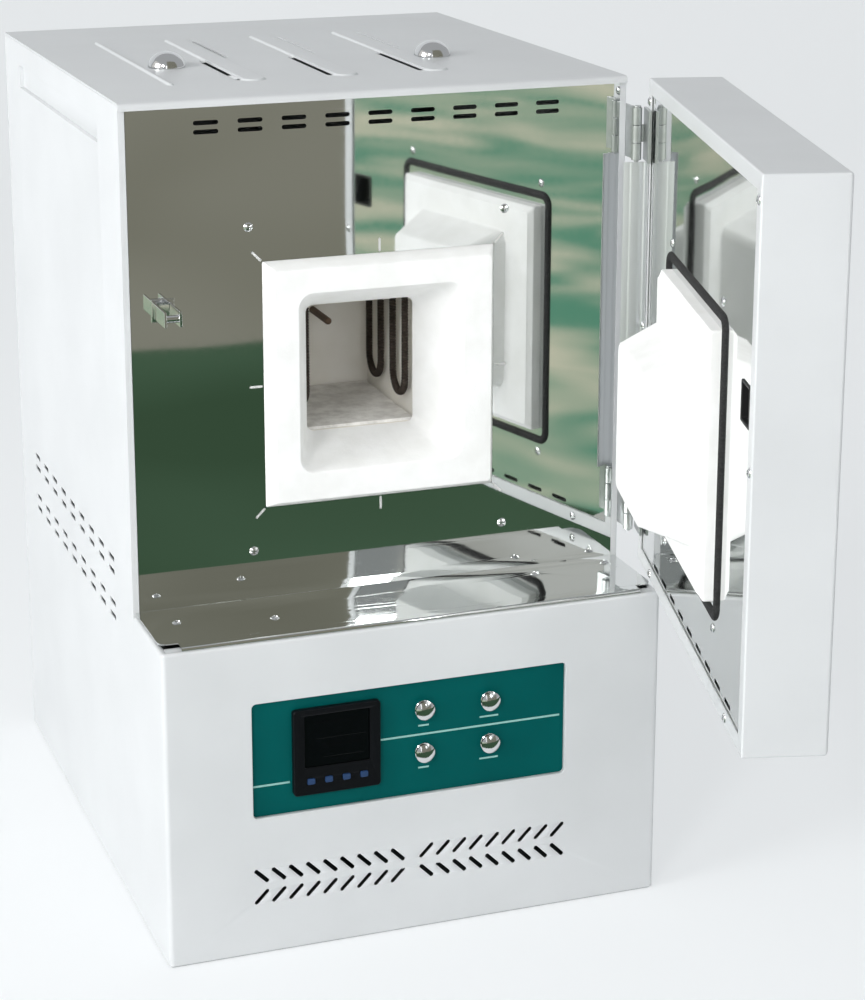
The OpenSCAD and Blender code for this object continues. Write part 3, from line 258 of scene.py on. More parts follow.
# ---- Top cover: one folded sheet with three wide raised beads, louvred on both flanks, a narrow
# rib, and two chromed dome nuts. Its front edge is folded down over the front plate with a soft
# radius.
def rings(rows, n=6):
    """Rounded rectangles one behind another. A row is width, height, radius, depth, middle x,
    middle z: the first parameter is the row, the second runs round the corners,
    corner + radius * (cos, sin)."""
    rows = np.array([tuple(row) + (0, 0) * (len(row) == 4) for row in rows], float)
    w, h, r, depth, x, z = rows.T[..., None]
    turn = np.radians(np.linspace(0, 90, n + 1) + 90 * np.arange(4)[:, None]).ravel()
    right = np.repeat([1, -1, -1, 1], n + 1)
    up = np.repeat([1, 1, -1, -1], n + 1)
    across = x + right * (w / 2 - r) + r * np.cos(turn)
    high = z + up * (h / 2 - r) + r * np.sin(turn)
    return np.stack([across, np.broadcast_to(depth, across.shape), high], -1)


def loop(w, h, r, at=(0, 0), turn=0, n=6):
    """One rounded rectangle as (u, v) points, turned about its middle by degrees and moved to its
    place."""
    points = rings([(w, h, r, 0)], n)[0][:, [0, 2]]
    c, s = np.cos(radians(turn)), np.sin(radians(turn))
    return points @ np.array([[c, s], [-s, c]]) + at


def flat(loops, near, far=None, facing="y"):
    """A flat sheet: the first loop is its outline, the others are cut out. It is filled as one flat
    curve from near to far, or without a thickness, and faces along the named axis."""
    far = near if far is None else far
    curve = bpy.data.curves.new("outline", "CURVE")
    curve.dimensions = "2D"
    curve.fill_mode = "BOTH"
    curve.extrude = abs(far - near) / 2
    for points in loops:
        spline = curve.splines.new("POLY")
        spline.points.add(len(points) - 1)
        placed = np.c_[points, np.zeros(len(points)), np.ones(len(points))]
        spline.points.foreach_set("co", placed.ravel())
        spline.use_cyclic_u = True
    outline = bpy.data.objects.new("outline", curve)
    mesh = bpy.data.meshes.new_from_object(outline)
    flat_points = np.empty(3 * len(mesh.vertices))
    mesh.vertices.foreach_get("co", flat_points)
    u, v, w = flat_points.reshape(-1, 3).T
    depth = (near + far) / 2 + w
    order = {"x": (depth, u, v), "y": (u, depth, v), "z": (u, v, depth)}[facing]
    faces = [list(face.vertices) for face in mesh.polygons]
    bpy.data.objects.remove(outline)
    bpy.data.curves.remove(curve)
    bpy.data.meshes.remove(mesh)
    return np.stack(order, -1), faces


def turned(profile, at, n=40, facing="y"):
    """A profile of (radius, height) turned about an axis: middle + radius * (cos, sin), and height
    along it."""
    r, h = np.array(profile, float).T[..., None]
    turn = np.radians(np.arange(n) * 360 / n)
    u, v, w = r * np.cos(turn), r * np.sin(turn), np.broadcast_to(h, (len(r), n))
    order = {"x": (w, u, v), "y": (u, w, v), "z": (u, v, w)}[facing]
    return np.stack(order, -1) + np.array(at, float)


bead_spots = [(x, 29.0, 260.0, 21.5) for x in (-78.0, -1.0, 76.0)] + [(-147.0, 29.0, 260.0, 6.0)]
louvres = [(x + side * 10.75, 28.5 + side * 63.5, side)
           for x in (-78.0, -1.0, 76.0) for side in (-1, 1)]
dome_spots = [(-125.3, -1.0), (101.5, -14.0)]


def pressed(x, y, long, wide):
    """The flank of a raised bead: rounded rectangles that step in by t * 2.4 and rise by
    0.75 * (1 - cos(pi * t))."""
    inset = np.array([0.0, 0.5, 1.1, 1.8, 2.4])
    high = TOP + 1.5 * (1 - np.cos(np.pi * inset / 2.4)) / 2
    rows = [np.c_[loop(wide - 2 * i, long - 2 * i, min(wide / 2, 10) - i, (x, y), n=9),
                  np.full(40, h)] for i, h in zip(inset, high)]
    return skin(np.stack(rows), ends=False)


fold = np.radians(np.linspace(0, 90, 8))
front_fold = np.concatenate([np.c_[-172.5 - 4 * np.sin(fold), TOP - 4 + 4 * np.cos(fold)],
                             [[-176.5, 664.2]]])
front_roll = np.stack([np.c_[np.full(len(front_fold), x), front_fold] for x in (-HALF, HALF)])
outlines, tops, flanks = [], [], []
for x, y, long, wide in bead_spots:
    outlines.append(loop(wide, long, min(wide / 2, 10), (x, y), n=9))
    tops.append(flat([loop(wide - 4.8, long - 4.8, min(wide / 2, 10) - 2.4, (x, y), n=9)],
                     TOP + 1.5, facing="z"))
    flanks.append(pressed(x, y, long, wide))
deck = flat([np.array([(-HALF, -172.5), (HALF, -172.5), (HALF, BACK), (-HALF, BACK)]), *outlines,
             *[loop(4.4, 4.4, 2.2, spot) for spot in dome_spots]], TOP, facing="z")
top = piece("top_sheet", [deck, skin(front_roll, around=False, ends=False), *tops, *flanks], coat,
            wall=SHEET)
# The louvres are cut by their own shape, so that each opening runs from the sheet up over the
# bead's flank.
slots = [np.stack([np.c_[loop(6.5 + side, 111.0, 2.7, (x + side, y)), np.full(28, z)]
                   for z in (TOP - 6, TOP + 6)]) for x, y, side in louvres]
cutter = piece("louvre_cutter", [skin(slot) for slot in slots], coat)
cut = top.modifiers.new("louvres", "BOOLEAN")
cut.operation = "DIFFERENCE"
cut.solver = "EXACT"
cut.object = cutter
bpy.context.view_layer.update()
baked = bpy.data.meshes.new_from_object(top.evaluated_get(bpy.context.evaluated_depsgraph_get()))
top.modifiers.clear()
baked.shade_smooth()
baked.set_sharp_from_angle(angle=radians(12))
top.data = baked
bpy.data.objects.remove(cutter)
weigh = top.modifiers.new("flat_faces_stay_flat", "WEIGHTED_NORMAL")
weigh.keep_sharp = True
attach(top, "cabinet")
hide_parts("top_cover")
# The tongue that each louvre's cut frees is bent down under it, so that nothing falls straight in.
tongues = piece("louvre_tongues", [skin(np.array([
    [(x + side * 5, y - 56, TOP - 1.6), (x + side * 5, y + 56, TOP - 1.6)],
    [(x - side * 1.6, y - 56, TOP - 2.6), (x - side * 1.6, y + 56, TOP - 2.6)]]), around=False,
                                        ends=False)
    for x, y, side in louvres], coat, wall=0.8)
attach(tongues, "cabinet")

# ---- Rear cover: a flat sheet of powder-coated steel, cut and slotted, and screwed to the folds
# of the side panels.
rear = softened("rear_cover", coat, 0.3)
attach(rear, "cabinet")
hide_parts("rear_cover")

# ---- Front plate: polished stainless steel sheet round the muffle, with two rows of vent slots,
# and slits that let it grow when it is hot. It mirrors the door, a little wavy as thin polished
# sheet is.
mirror, tree = begin("polished_stainless_steel")
place = add(tree, "TexCoord")
wave = add(tree, "TexNoise", {"Scale": 1000 / 130, "Detail": 1.0}, {"Vector": (place, "Object")})
polish = add(tree, "TexNoise", {"Scale": 1000 / 6, "Detail": 4.0}, {"Vector": (place, "Object")})
tone = add(tree, "ValToRGB", {}, {"Fac": (wave, "Fac")}, [(0, "#dbdddc"), (1, "#e4e6e5")])
haze = add(tree, "MapRange", {"To Min": 0.015, "To Max": 0.05}, {"Value": (polish, "Fac")})
relief = add(tree, "Bump", {"Strength": 0.35, "Distance": 0.0006}, {"Height": (wave, "Fac")})
shader = add(tree, "BsdfPrincipled", {"Metallic": 1.0}, {
    "Base Color": (tone, "Color"), "Roughness": (haze, "Result"), "Normal": (relief, "Normal")})
add(tree, "OutputMaterial", {}, {"Surface": (shader, "BSDF")})

collar_spot = (-1.2, 441.2)
vents = [loop(19.8, 3.5, 1.75, (35.0 * (i - 4), z), n=4) for i in range(9) for z in (652.0, 645.0)]
ways = [(sx, sz) for sx in (-1, 0, 1) for sz in (-1, 0, 1) if sx or sz]
slits = [loop(11, 2, 1, (collar_spot[0] + sx * (96.25 + 6.5 / np.hypot(sx, sz)),
                         collar_spot[1] + sz * (99.75 + 6.5 / np.hypot(sx, sz))),
              np.degrees(np.arctan2(sz, sx)), n=3) for sx, sz in ways]
plate_spots = [(x, z) for x in (-108, 104) for z in (306, 569)]
screw_holes = [loop(4.4, 4.4, 2.2, spot) for spot in plate_spots]
plate_outline = np.array([(-202.5, 256), (202.5, 256), (202.5, 664), (-202.5, 664)])
plate = piece("mirror_plate", [flat(
    [plate_outline, loop(192.9, 199.9, 0.2, collar_spot, n=2), *vents, *slits, *screw_holes],
    FRONT, FRONT + 1.5)], mirror)
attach(plate, "cabinet")
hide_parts("front_plate")

# ---- Muffle collar: vacuum-formed ceramic fibre, sloped at its edge and drawn in to the chamber by
# a funnel with soft corners. The fibre is chalk white and matt, and its sanded face is faintly
# mottled.
fibre, tree = begin("ceramic_fibre")
place = add(tree, "TexCoord")
patch = add(tree, "TexNoise", {"Scale": 1000 / 28, "Detail": 3.0}, {"Vector": (place, "Object")})
tone = add(tree, "ValToRGB", {}, {"Fac": (patch, "Fac")}, [(0.35, "#f3f3f1"), (0.65, "#fafaf9")])
shots = add(tree, "TexNoise", {"Scale": 1000 / 1.8, "Detail": 4.0, "Roughness": 0.7},
            {"Vector": (place, "Object")})
sanded = add(tree, "TexNoise", {"Scale": 1000 / 12, "Detail": 2.0}, {"Vector": (place, "Object")})
rough = add(tree, "Math", {"operation": "MULTIPLY_ADD", 1: 2.0},
            {0: (sanded, "Fac"), 2: (shots, "Fac")})
relief = add(tree, "Bump", {"Strength": 0.6, "Distance": 0.00025}, {"Height": (rough, 0)})
shader = add(tree, "BsdfPrincipled", {"Roughness": 0.95, "IOR": 1.3}, {
    "Base Color": (tone, "Color"), "Normal": (relief, "Normal")})
add(tree, "OutputMaterial", {}, {"Surface": (shader, "BSDF")})
MUFFLE_X = -3.2
MOUTH = (MUFFLE_X, 442.5)
THROAT = (MUFFLE_X, 439.5)
collar = piece("fibre_collar", [skin(rings([
    (192.5, 199.5, 1.0, -129.0, *collar_spot), (192.5, 199.5, 1.5, FRONT, *collar_spot),
    (181.6, 188.6, 2.5, -185.0, *collar_spot), (180.6, 187.6, 3.0, -185.8, *collar_spot),
    (179.2, 186.2, 3.0, -186.0, *collar_spot),
    (138.4, 147.4, 13.2, -186.0, *MOUTH), (136.8, 145.8, 12.4, -185.6, *MOUTH),
    (135.6, 144.6, 11.8, -184.6, *MOUTH),
    (116.0, 127.0, 9.5, -159.0, MUFFLE_X, 441.2), (115.4, 126.4, 9.3, -158.6, MUFFLE_X, 441.2),
    (91.6, 105.6, 6.4, -129.6, *THROAT), (91.0, 105.0, 6.0, -129.0, *THROAT)], n=10),
    ends=False, looped=True)], fibre)
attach(collar, "cabinet")
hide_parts("muffle_collar")
# A frame of fibre paper lies behind the plate round the collar, so the slits look white.
paper_frame = piece("collar_paper", [flat(
    [loop(226, 233, 3, collar_spot), loop(193.4, 200.4, 1, collar_spot)],
    FRONT + 1.6, FRONT + 2.4)], fibre)
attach(paper_frame, "cabinet")

# ---- Chamber: boards of the same fibre behind the collar, yellowed by heat, and a worn hearth
# slab laid on the floor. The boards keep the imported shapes: they are plain sawn blocks.
def dress(material, *nodes):
    """Gives CAD nodes a finish; their meshes stay as they are."""
    for node in nodes:
        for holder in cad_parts[node].material_slots:
            holder.material = material


board, tree = begin("heated_fibre_board")
place = add(tree, "TexCoord")
scorch = add(tree, "TexNoise", {"Scale": 1000 / 45, "Detail": 3.0}, {"Vector": (place, "Object")})
tone = add(tree, "ValToRGB", {}, {"Fac": (scorch, "Fac")}, [(0.3, "#efebe0"), (0.7, "#f8f5ee")])
grit = add(tree, "TexNoise", {"Scale": 1000 / 2.2, "Detail": 4.0, "Roughness": 0.7},
           {"Vector": (place, "Object")})
relief = add(tree, "Bump", {"Strength": 0.6, "Distance": 0.0004}, {"Height": (grit, "Fac")})
shader = add(tree, "BsdfPrincipled", {"Roughness": 0.95, "IOR": 1.3}, {
    "Base Color": (tone, "Color"), "Normal": (relief, "Normal")})
add(tree, "OutputMaterial", {}, {"Surface": (shader, "BSDF")})
dress(board, "chamber_floor", "chamber_left_wall", "chamber_right_wall", "chamber_roof",
      "chamber_back")
dress(fibre, "insulation_blanket")

# The slab is pressed and fired clay, pale grey with darker worn blots.
slab, tree = begin("fired_hearth_clay")
place = add(tree, "TexCoord")
blot = add(tree, "TexNoise", {"Scale": 1000 / 16, "Detail": 5.0, "Roughness": 0.65},
           {"Vector": (place, "Object")})
tone = add(tree, "ValToRGB", {}, {"Fac": (blot, "Fac")}, [(0.36, "#d6d3ce"), (0.62, "#f6f4f0")])
relief = add(tree, "Bump", {"Strength": 0.5, "Distance": 0.0004}, {"Height": (blot, "Fac")})
shader = add(tree, "BsdfPrincipled", {"Roughness": 0.85}, {
    "Base Color": (tone, "Color"), "Normal": (relief, "Normal")})
add(tree, "OutputMaterial", {}, {"Surface": (shader, "BSDF")})
hearth = softened("hearth_slab", slab, 0.5)
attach(hearth, "cabinet")
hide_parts("hearth_slab")

# ---- Heaters: four hairpins of resistance wire wound in a close coil, hung through the roof by
# straight legs. The wire has gone matt brown-black from firing. The coil is one tube with a helical
# ridge.
wire, tree = begin("oxidised_resistance_wire")
place = add(tree, "TexCoord")
scale = add(tree, "TexNoise", {"Scale": 1000 / 5, "Detail": 3.0}, {"Vector": (place, "Object")})
tone = add(tree, "ValToRGB", {}, {"Fac": (scale, "Fac")}, [(0, "#231c18"), (1, "#4a4038")])
shader = add(tree, "BsdfPrincipled", {"Metallic": 0.5, "Roughness": 0.6},
             {"Base Color": (tone, "Color")})
add(tree, "OutputMaterial", {}, {"Surface": (shader, "BSDF")})
HAIR_R, BEND_Z, LEG_TOP, ROOF, COIL_PITCH = 15.0, 421.25, 612.2, 494.0, 2.4


def hairpin(x, y):
    """A tube round a hairpin line: down, half a circle, up. Its radius is
    2.75 + 0.45 * cos(2 * pi * s / COIL_PITCH - angle) below the roof and plain above it."""
    drop = LEG_TOP - BEND_Z
    length = 2 * drop + np.pi * HAIR_R
    coil = LEG_TOP - ROOF
    s = np.concatenate([[0, coil - 1], np.arange(coil, length - coil, 0.4),
                        [length - coil + 1, length]])
    arc = np.clip((s - drop) / HAIR_R, 0, np.pi)
    up = np.where(s < drop, drop - s, np.where(s > length - drop, s - length + drop, 0))
    middle_y = y - HAIR_R * np.cos(arc)
    middle_z = BEND_Z + up - HAIR_R * np.sin(arc)
    angle = np.radians(np.arange(12) * 30)
    inside = (s >= coil) & (s <= length - coil)
    ridge = np.cos(2 * np.pi * s[:, None] / COIL_PITCH - angle) * inside[:, None]
    r = 2.75 + 0.45 * ridge
    out_y, out_z = -np.cos(arc)[:, None], -np.sin(arc)[:, None]
    points = np.stack([x + r * np.sin(angle), middle_y[:, None] + r * np.cos(angle) * out_y,
                       middle_z[:, None] + r * np.cos(angle) * out_z], -1)
    return skin(points)


for side, sign in (("left", -1), ("right", 1)):
    coils = piece("heater_coils_" + side,
                  [hairpin(MUFFLE_X + sign * 42.55, y) for y in (-104.0, -43.5)], wire, crease=80)
    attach(coils, "cabinet")
    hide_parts("heater_" + side)

# ---- Thermocouple: a ceramic sheath with a round closed end, pushed in through the back wall.
# It is brown from firing, blotched and nearly matt.
sheath_clay, tree = begin("brown_ceramic_sheath")
place = add(tree, "TexCoord")
stain = add(tree, "TexNoise", {"Scale": 1000 / 9, "Detail": 3.0}, {"Vector": (place, "Object")})
tone = add(tree, "ValToRGB", {}, {"Fac": (stain, "Fac")}, [(0, "#4c3d31"), (1, "#7a6350")])
shader = add(tree, "BsdfPrincipled", {"Roughness": 0.6}, {"Base Color": (tone, "Color")})
add(tree, "OutputMaterial", {}, {"Surface": (shader, "BSDF")})
tip = np.radians(np.linspace(4, 90, 8))
sheath_profile = [*np.c_[3 * np.sin(tip), -46 - 3 * np.cos(tip)], (3, 90), (3, 106)]
sheath = piece("thermocouple_tube",
               [skin(turned(sheath_profile, (MUFFLE_X, 0, 456.0), n=24))], sheath_clay)
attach(sheath, "cabinet")
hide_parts("thermocouple_sheath")

# ---- Console: one sheet bent at two upright corners, its upper edge folded inwards under the
# shelf, with a window for the controls and two rows of chevron slots punched through its face. Same
# powder coat.
CONSOLE_TOP, CONSOLE_FACE = 262.6, -262.0
FASCIA_SPOT = (-6.0, 164.4)


def round_the_console(inset, n=10):
    """The console's outline from above, set in: left side, a quarter turn, front, a quarter turn,
    right side."""
    turn = np.radians(np.linspace(180, 270, n))
    r = max(4.0 - inset, 0.5)
    left = np.c_[-HALF + inset + r + r * np.cos(turn),
                 CONSOLE_FACE + inset + r + r * np.sin(turn)]
    back = np.array([(-HALF + inset, FRONT - 0.2)])
    return np.concatenate([back, left, (left * (-1, 1))[::-1], back * (-1, 1)])


quarter = np.radians(np.linspace(0, 90, 6))
brim = [(0, 250.0), *np.c_[2.5 - 2.5 * np.cos(quarter), 260.1 + 2.5 * np.sin(quarter)],
        (5.0, CONSOLE_TOP)]
brim_rows = np.stack([np.c_[round_the_console(inset), np.full(22, z)] for inset, z in brim])
wrap = round_the_console(0)
left_wall = np.stack([np.c_[wrap[:11], np.full(11, z)] for z in (1.5, 250.0)])
right_wall = np.stack([np.c_[wrap[11:], np.full(11, z)] for z in (1.5, 250.0)])
chevrons = [loop(15.8, 3.5, 1.7, (-6 + side * (69 + (i - 4) * 14.2), 58.25 + row * 8.9),
                 side * row * 45, n=4)
            for side in (-1, 1) for row in (-1, 1) for i in range(9)]
face = flat([np.array([(-204, 1.5), (204, 1.5), (204, 250), (-204, 250)], float),
             loop(264.6, 97.6, 4.3, FASCIA_SPOT), *chevrons], CONSOLE_FACE)
window = skin(rings([(264.6, 97.6, 4.3, CONSOLE_FACE, *FASCIA_SPOT),
                     (263.5, 96.5, 3.8, -261.7, *FASCIA_SPOT),
                     (263, 96, 3.5, -261.1, *FASCIA_SPOT), (263, 96, 3.5, -258.1, *FASCIA_SPOT)]),
              ends=False)
tab = np.array([(190, -258), (203.4, -258), (203.4, -249.2), (190, -249.2)])
tabs = [flat([tab * (side, 1)], CONSOLE_TOP - 0.05, facing="z") for side in (-1, 1)]
console = piece("console_sheet", [skin(brim_rows, around=False, ends=False),
                                  skin(left_wall, around=False, ends=False),
                                  skin(right_wall, around=False, ends=False), face, window, *tabs],
                coat, wall=SHEET)
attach(console, "cabinet")
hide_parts("console_panel")

# ---- Shelf: polished stainless sheet laid over the console, with round corners and a narrower
# front that is folded down just behind the console's face. Screwed to the deck under it.
SHELF = 266.0
corner = np.radians(np.linspace(180, 270, 7))
left_edge = np.concatenate([[(-206, FRONT - 0.2)],
                            np.c_[-198 + 8 * np.cos(corner), -241 + 8 * np.sin(corner)],
                            [(-191.5, -249.0), (-191, -249.5), (-191, -257.6)]])
shelf_outline = np.concatenate([left_edge, (left_edge * (-1, 1))[::-1]])
nose = np.concatenate([[(-257.6, SHELF)],
                       np.c_[-257.6 - 2.4 * np.sin(quarter), 263.6 + 2.4 * np.cos(quarter)],
                       [(-260, 262.9)]])
lip = np.stack([np.c_[np.full(len(nose), x), nose] for x in (-191.0, 191.0)])
shelf_spots = [(-181, -206), (-106, -222), (125, -196), (190, -190)]
shelf_holes = [loop(4.4, 4.4, 2.2, spot) for spot in shelf_spots]
shelf = piece("shelf_sheet", [flat([shelf_outline, *shelf_holes], SHELF, facing="z"),
                              skin(lip, around=False, ends=False)], mirror, wall=SHEET)
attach(shelf, "cabinet")
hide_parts("console_shelf")

# ---- Fascia: an aluminium plate screwed behind the console's window, enamelled teal, with two
# pale printed rules. The enamel is deep and even, with a faint peel and little glare.
enamel, tree = begin("teal_enamel")
place = add(tree, "TexCoord")
drift = add(tree, "TexNoise", {"Scale": 1000 / 70, "Detail": 2.0}, {"Vector": (place, "Object")})
tone = add(tree, "ValToRGB", {}, {"Fac": (drift, "Fac")}, [(0.3, "#005251"), (0.7, "#005a58")])
skin_peel = add(tree, "TexNoise", {"Scale": 1000 / 2, "Detail": 1.0}, {"Vector": (place, "Object")})
relief = add(tree, "Bump", {"Strength": 0.2, "Distance": 0.00003}, {"Height": (skin_peel, "Fac")})
shader = add(tree, "BsdfPrincipled", {"Roughness": 0.32, "Specular IOR Level": 0.07}, {
    "Base Color": (tone, "Color"), "Normal": (relief, "Normal")})
add(tree, "OutputMaterial", {}, {"Surface": (shader, "BSDF")})
METER = (-68.5, 166.5)
buttons = [(5.0, 188.0), (60.8, 188.0), (5.0, 151.6), (60.8, 151.6)]
fascia_holes = [loop(68, 68, 2, METER), *[loop(12.4, 12.4, 6.2, spot) for spot in buttons]]
fascia = piece("fascia_plate", [flat(
    [loop(279, 112, 2, FASCIA_SPOT), *fascia_holes], -258.0, -256.5)], enamel)
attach(fascia, "cabinet")
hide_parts("control_fascia")

# The rules are screen printed: thin, pale and slightly uneven in tone.
ink, tree = begin("pale_printing_ink")
place = add(tree, "TexCoord")
screen = add(tree, "TexNoise", {"Scale": 1000 / 3, "Detail": 2.0}, {"Vector": (place, "Object")})
tone = add(tree, "ValToRGB", {}, {"Fac": (screen, "Fac")}, [(0, "#7fb8b0"), (1, "#a3cfc8")])
shader = add(tree, "BsdfPrincipled", {"Roughness": 0.5}, {"Base Color": (tone, "Color")})
add(tree, "OutputMaterial", {}, {"Surface": (shader, "BSDF")})
marks = [(45.0, 166.5, 154.0, 1.6), (-121.5, 142.0, 30.0, 1.6),
         (5.0, 174.0, 9.0, 1.4), (60.8, 174.0, 16.0, 1.4),
         (5.0, 138.0, 9.0, 1.4), (60.8, 138.0, 16.0, 1.4)]
rules = piece("printed_rules", [skin(rings([(w, h, 0.3, y, x, z) for y in (-257.99, -258.06)], 2))
                                for x, z, w, h in marks], ink)
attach(rules, "cabinet")

# ---- Controller: a square bezel moulded in ABS, pushed through the fascia, with a tinted window
# over two unlit displays, and four small keys. The bezel is spark-textured, so it looks dull black.
abs_black, tree = begin("moulded_abs")
place = add(tree, "TexCoord")
spark = add(tree, "TexNoise", {"Scale": 1000 / 0.9, "Detail": 2.0}, {"Vector": (place, "Object")})
tone = add(tree, "ValToRGB", {}, {"Fac": (spark, "Fac")}, [(0, "#0b0c0f"), (1, "#131519")])
relief = add(tree, "Bump", {"Strength": 0.4, "Distance": 0.00004}, {"Height": (spark, "Fac")})
shader = add(tree, "BsdfPrincipled", {"Roughness": 0.4, "Specular IOR Level": 0.13}, {
    "Base Color": (tone, "Color"), "Normal": (relief, "Normal")})
add(tree, "OutputMaterial", {}, {"Surface": (shader, "BSDF")})
key_spots = [(METER[0] + (i - 1.5) * 14.6, METER[1] - 24.4) for i in range(4)]
PANE = (METER[0], METER[1] + 9)
bezel_rows = [(72, 72, 3, -258, *METER), (72, 72, 3, -262.1, *METER),
              (71.6, 71.6, 2.8, -262.6, *METER), (70.6, 70.6, 2.4, -263, *METER),
              (70.6, 70.6, 2.4, -263, *METER)]
bezel_face = flat([loop(70.6, 70.6, 2.4, METER), loop(54, 44, 1.2, PANE),
                   *[loop(7.0, 5.6, 1.3, spot) for spot in key_spots]], -263.0)
bezel = piece("meter_bezel", [skin(rings(bezel_rows), ends=False), bezel_face], abs_black, wall=1.2)
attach(bezel, "cabinet")
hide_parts("controller_bezel")

# The window is smooth tinted acrylic: nearly black, with a clear but weak glint.
glass, tree = begin("tinted_acrylic")
place = add(tree, "TexCoord")
smear = add(tree, "TexNoise", {"Scale": 1000 / 20, "Detail": 3.0}, {"Vector": (place, "Object")})
gloss = add(tree, "MapRange", {"To Min": 0.1, "To Max": 0.2}, {"Value": (smear, "Fac")})
shader = add(tree, "BsdfPrincipled", {"Base Color": linear("#06070a"), "Specular IOR Level": 0.2},
             {"Roughness": (gloss, "Result")})
add(tree, "OutputMaterial", {}, {"Surface": (shader, "BSDF")})
displays = [(METER[0] + 3, 184.0, 42.0, 14.0), (METER[0] + 5, 166.0, 34.0, 10.0)]
pane = piece("meter_window", [
    skin(rings([(53.6, 43.6, 1.0, -258.0, *PANE), (53.6, 43.6, 1.0, -261.6, *PANE),
                (53.0, 43.0, 0.8, -262.0, *PANE)])),
    *[skin(rings([(w, h, 0.6, -261.9, x, z), (w, h, 0.6, -262.3, x, z),
                  (w - 0.8, h - 0.8, 0.4, -262.5, x, z)])) for x, z, w, h in displays]], glass)
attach(pane, "cabinet")
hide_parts("controller_window")

# The keys are moulded silicone, a dull dark blue.
key_rubber, tree = begin("blue_silicone_key")
place = add(tree, "TexCoord")
touch = add(tree, "TexNoise", {"Scale": 1000 / 2, "Detail": 2.0}, {"Vector": (place, "Object")})
tone = add(tree, "ValToRGB", {}, {"Fac": (touch, "Fac")}, [(0, "#14335a"), (1, "#1a4070")])
shader = add(tree, "BsdfPrincipled", {"Roughness": 0.5}, {"Base Color": (tone, "Color")})
add(tree, "OutputMaterial", {}, {"Surface": (shader, "BSDF")})
for i, spot in enumerate(key_spots, 1):
    key = piece(f"meter_key_{i}", [skin(rings([
        (6.4, 5, 1.2, -258.2, *spot), (6.4, 5, 1.2, -263.4, *spot), (6, 4.6, 1.1, -263.8, *spot),
        (5, 3.6, 0.9, -264, *spot)]))], key_rubber)
    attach(key, f"key_{i}")
    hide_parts(f"controller_key_{i}")

# ---- Push buttons: turned brass domes on a stem, each in a flange nutted to the fascia. The
# chrome mirrors the room brightly, a little dulled by handling.
chrome, tree = begin("chromed_brass")
place = add(tree, "TexCoord")
breath = add(tree, "TexNoise", {"Scale": 1000 / 4, "Detail": 2.0}, {"Vector": (place, "Object")})
gloss = add(tree, "MapRange", {"To Min": 0.08, "To Max": 0.16}, {"Value": (breath, "Fac")})
shader = add(tree, "BsdfPrincipled", {"Base Color": linear("#d9dadb"), "Metallic": 1.0}, {
    "Roughness": (gloss, "Result")})
add(tree, "OutputMaterial", {}, {"Surface": (shader, "BSDF")})
dome = np.linspace(1, 0.03, 9)
button_profile = [(4, -236), (4, -262.4), (7.2, -262.4), (7.8, -262.6),
                  *np.c_[8 * np.sqrt(dome), -262.9 - 2.8 * (1 - dome)]]
for i, (x, z) in enumerate(buttons, 1):
    button = piece(f"chrome_button_{i}", [skin(turned(button_profile, (x, 0, z), n=36))], chrome)
    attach(button, f"button_{i}")
    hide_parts(f"push_button_{i}")
sleeve_profile = [(4.1, -236), (6, -236), (6, -252.0), (8.5, -252.2), (8.5, -256.4), (6, -256.4),
                  (6, -258.0), (7.5, -258.0), (7.5, -259.1), (7.0, -259.5), (4.1, -259.5)]
sleeves = piece("button_sleeves", [
    skin(turned(sleeve_profile, (x, 0, z), n=36), ends=False, looped=True) for x, z in buttons],
    chrome)
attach(sleeves, "cabinet")
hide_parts("button_bodies")

# ---- Hinges: flat steel leaves rolled to knuckles and joined by pins. One leaf lies on the
# cabinet's side, the other on the door's rim. Bright zinc plating gives a greyish, blurred shine.
# The catch on the front plate is chromed.
zinc, tree = begin("bright_zinc_plated_steel")
place = add(tree, "TexCoord")
cell = add(tree, "TexNoise", {"Scale": 1000 / 8, "Detail": 4.0}, {"Vector": (place, "Object")})
tone = add(tree, "ValToRGB", {}, {"Fac": (cell, "Fac")}, [(0, "#b6b9ba"), (1, "#cfd2d2")])
gloss = add(tree, "MapRange", {"To Min": 0.34, "To Max": 0.44}, {"Value": (cell, "Fac")})
shader = add(tree, "BsdfPrincipled", {"Metallic": 1.0},
             {"Base Color": (tone, "Color"), "Roughness": (gloss, "Result")})
add(tree, "OutputMaterial", {}, {"Surface": (shader, "BSDF")})
for node, body in (("hinge_frame_leaves", "cabinet"), ("hinge_door_leaves", "door"),
                   ("hinge_pins", "cabinet")):
    leaf = softened(node, zinc, 0.35)
    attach(leaf, body)
    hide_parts(node)
catch = softened("door_catch", chrome, 0.3)
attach(catch, "cabinet")
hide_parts("door_catch")


# ---- Screws: pan heads with a pressed cross recess, chromed. They hold the front plate, the
# shelf and the rear cover.
def screw_head(at, facing, sign):
    """A domed head in polar rings: height 1.8 * (1 - (r / 3.75) ** 2) ** 0.8, sunk by 0.9 where a
    cross 1 wide and 4.4 across crosses it. sign is the way it faces along its axis."""
    r, angle = np.meshgrid(np.linspace(0.05, 3.75, 16), np.radians(np.arange(0, 360, 7.5)),
                           indexing="ij")
    u, v = r * np.cos(angle), r * np.sin(angle)
    cross = (np.minimum(abs(u), abs(v)) < 0.5) & (r < 2.2)
    high = 1.8 * (1 - (r / 3.75) ** 2) ** 0.8 - 0.9 * cross
    u, v, high = (np.concatenate([a, a[-1:]]) for a in (u, v, high))
    high[-1] = -1.0
    axes = {"y": (u, sign * high, v), "z": (u, v, sign * high)}[facing]
    return skin(np.stack(axes, -1) + np.array(at, float))


